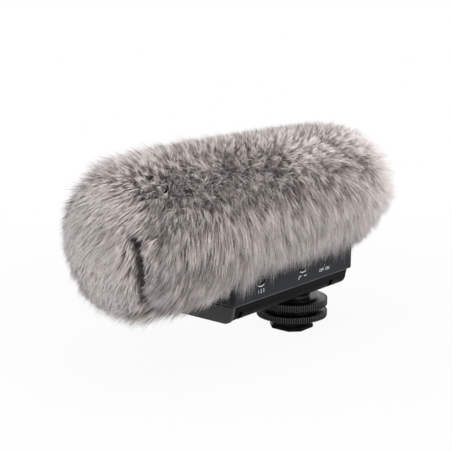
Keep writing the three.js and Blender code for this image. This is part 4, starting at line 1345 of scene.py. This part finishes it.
def make_foam():
    """A blunt nose, a straight body and the bore for the barrel, as one outline swept round the axis."""
    turn = np.linspace(0, math.pi / 2, 9)
    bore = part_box("barrel_tube")[1].x + 0.15 * MM
    bore_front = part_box("front_grille")[0].y - 0.3 * MM
    places = np.concatenate([
        [foam_low.y], foam_low.y + FOAM_NOSE * (1 - np.cos(turn)),
        np.linspace(foam_low.y + FOAM_NOSE, foam_high.y, FOAM_RINGS)[1:],
        [foam_high.y, bore_front, bore_front],
    ])
    reaches = np.concatenate([
        [0], FOAM_REACH - FOAM_NOSE + FOAM_NOSE * np.sin(turn),
        np.full(FOAM_RINGS - 1, FOAM_REACH),
        [bore, bore, 0],
    ])
    foam = closed_tube("foam_sleeve", places, reaches, FOAM_SIDES)
    points = points_of(foam)
    way = points * (1, 0, 1) - (0, 0, AXIS_HEIGHT)
    away = np.linalg.norm(way, axis=1)
    dents = FOAM_DENT + FOAM_UNEVEN * hills(points, FOAM_HILL, 11)
    move_points(foam, points - way * column((away > bore + 2 * MM) * dents / np.maximum(away, 1e-9)))
    foam.data.shade_smooth()
    foam.data.materials.append(foam_finish())
    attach(foam, "base")
    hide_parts("foam_cover")
    return foam


foam = make_foam()
print("foam vertices:", len(foam.data.vertices))

# %% [markdown]
# ## Light, floor and background
#
# The object stands in plain, soft studio light: one broad lamp above and in front, one on each
# side, and a pale sky that fills the shadows. The sky is white where the camera or a reflection
# sees it. The floor is matt and pale, and it shines a little for the camera, so that it fades into
# the white but keeps a soft shadow.

# %% Light, floor and background
LAMP_TARGET = Vector((0, -35, 50)) * MM
FLOOR_HALF, FLOOR_HEIGHT, SHADOW_REACH = 12.0, -0.05 * MM, 0.3
WHITE = (1, 1, 1, 1)


def area_lamp(name, place, size, watts):
    data = bpy.data.lights.new(name, "AREA")
    data.shape = "SQUARE"
    data.size = size
    data.energy = watts
    lamp = add_object(name, data)
    lamp.location = place
    lamp.rotation_euler = (LAMP_TARGET - Vector(place)).to_track_quat("-Z", "Y").to_euler()


def make_sky(strength):
    """A sky that lights the object at that strength, and is white where it is seen."""
    world = bpy.data.worlds.new("sky")
    bpy.context.scene.world = world
    tree = empty_tree(world)
    camera_ray = tree.shader("LightPath")
    glossy, through = camera_ray.other("Is Glossy Ray"), camera_ray.other("Is Transmission Ray")
    light = tree.shader("Background", {"Color": WHITE, "Strength": strength})
    white = tree.shader("Background", {"Color": WHITE, "Strength": 1.0})
    seen = tree.maths("MAXIMUM", camera_ray, tree.maths("MAXIMUM", glossy, through))
    both = tree.shader("MixShader", {0: seen, 1: light, 2: white})
    tree.shader("OutputWorld", {"Surface": both})


def make_floor():
    """A matt floor. For the camera it is white, apart from the shadow close to the object."""
    signs = ((-1, -1), (1, -1), (1, 1), (-1, 1))
    corners = [(x * FLOOR_HALF, y * FLOOR_HALF, FLOOR_HEIGHT) for x, y in signs]
    floor = mesh_object("floor", corners, [(0, 1, 2, 3)])
    material = bpy.data.materials.new("floor")
    tree = empty_tree(material)
    camera_ray = tree.shader("LightPath")
    away = tree.limits(tree.maths("LENGTH", tree.object_place()), SHADOW_REACH / 3, SHADOW_REACH, 0.93, 1.0)
    matt = tree.shader("BsdfDiffuse", {"Color": (0.7, 0.7, 0.7, 1)})
    shine = tree.shader("Emission", {"Color": WHITE, "Strength": 1.0})
    both = tree.shader("MixShader", {0: camera_ray * away, 1: matt, 2: shine})
    tree.shader("OutputMaterial", {"Surface": both})
    floor.data.materials.append(material)
    floor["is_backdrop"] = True


make_sky(0.45)
make_floor()
area_lamp("lamp above", (0.2, -0.3, 1.1), 0.9, 6)
area_lamp("lamp right", (1.0, -0.1, 0.35), 0.7, 7)
area_lamp("lamp left", (-0.5, -1.0, 0.4), 0.7, 5)
bpy.context.scene.view_settings.view_transform = "Standard"
print("lamps:", len(bpy.data.lights))

# %% [markdown]
# ## Sizes before the end
#
# The finer pieces stand in for solids of the frame, so all of them together should hardly reach
# beyond it. Only hair tips may.

# %% Sizes before the end
low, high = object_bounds()
below = [round((a - b) / MM, 1) for a, b in zip(cad_low, low)]
above = [round((b - a) / MM, 1) for a, b in zip(cad_high, high)]
print("grows by, mm:", below, above)
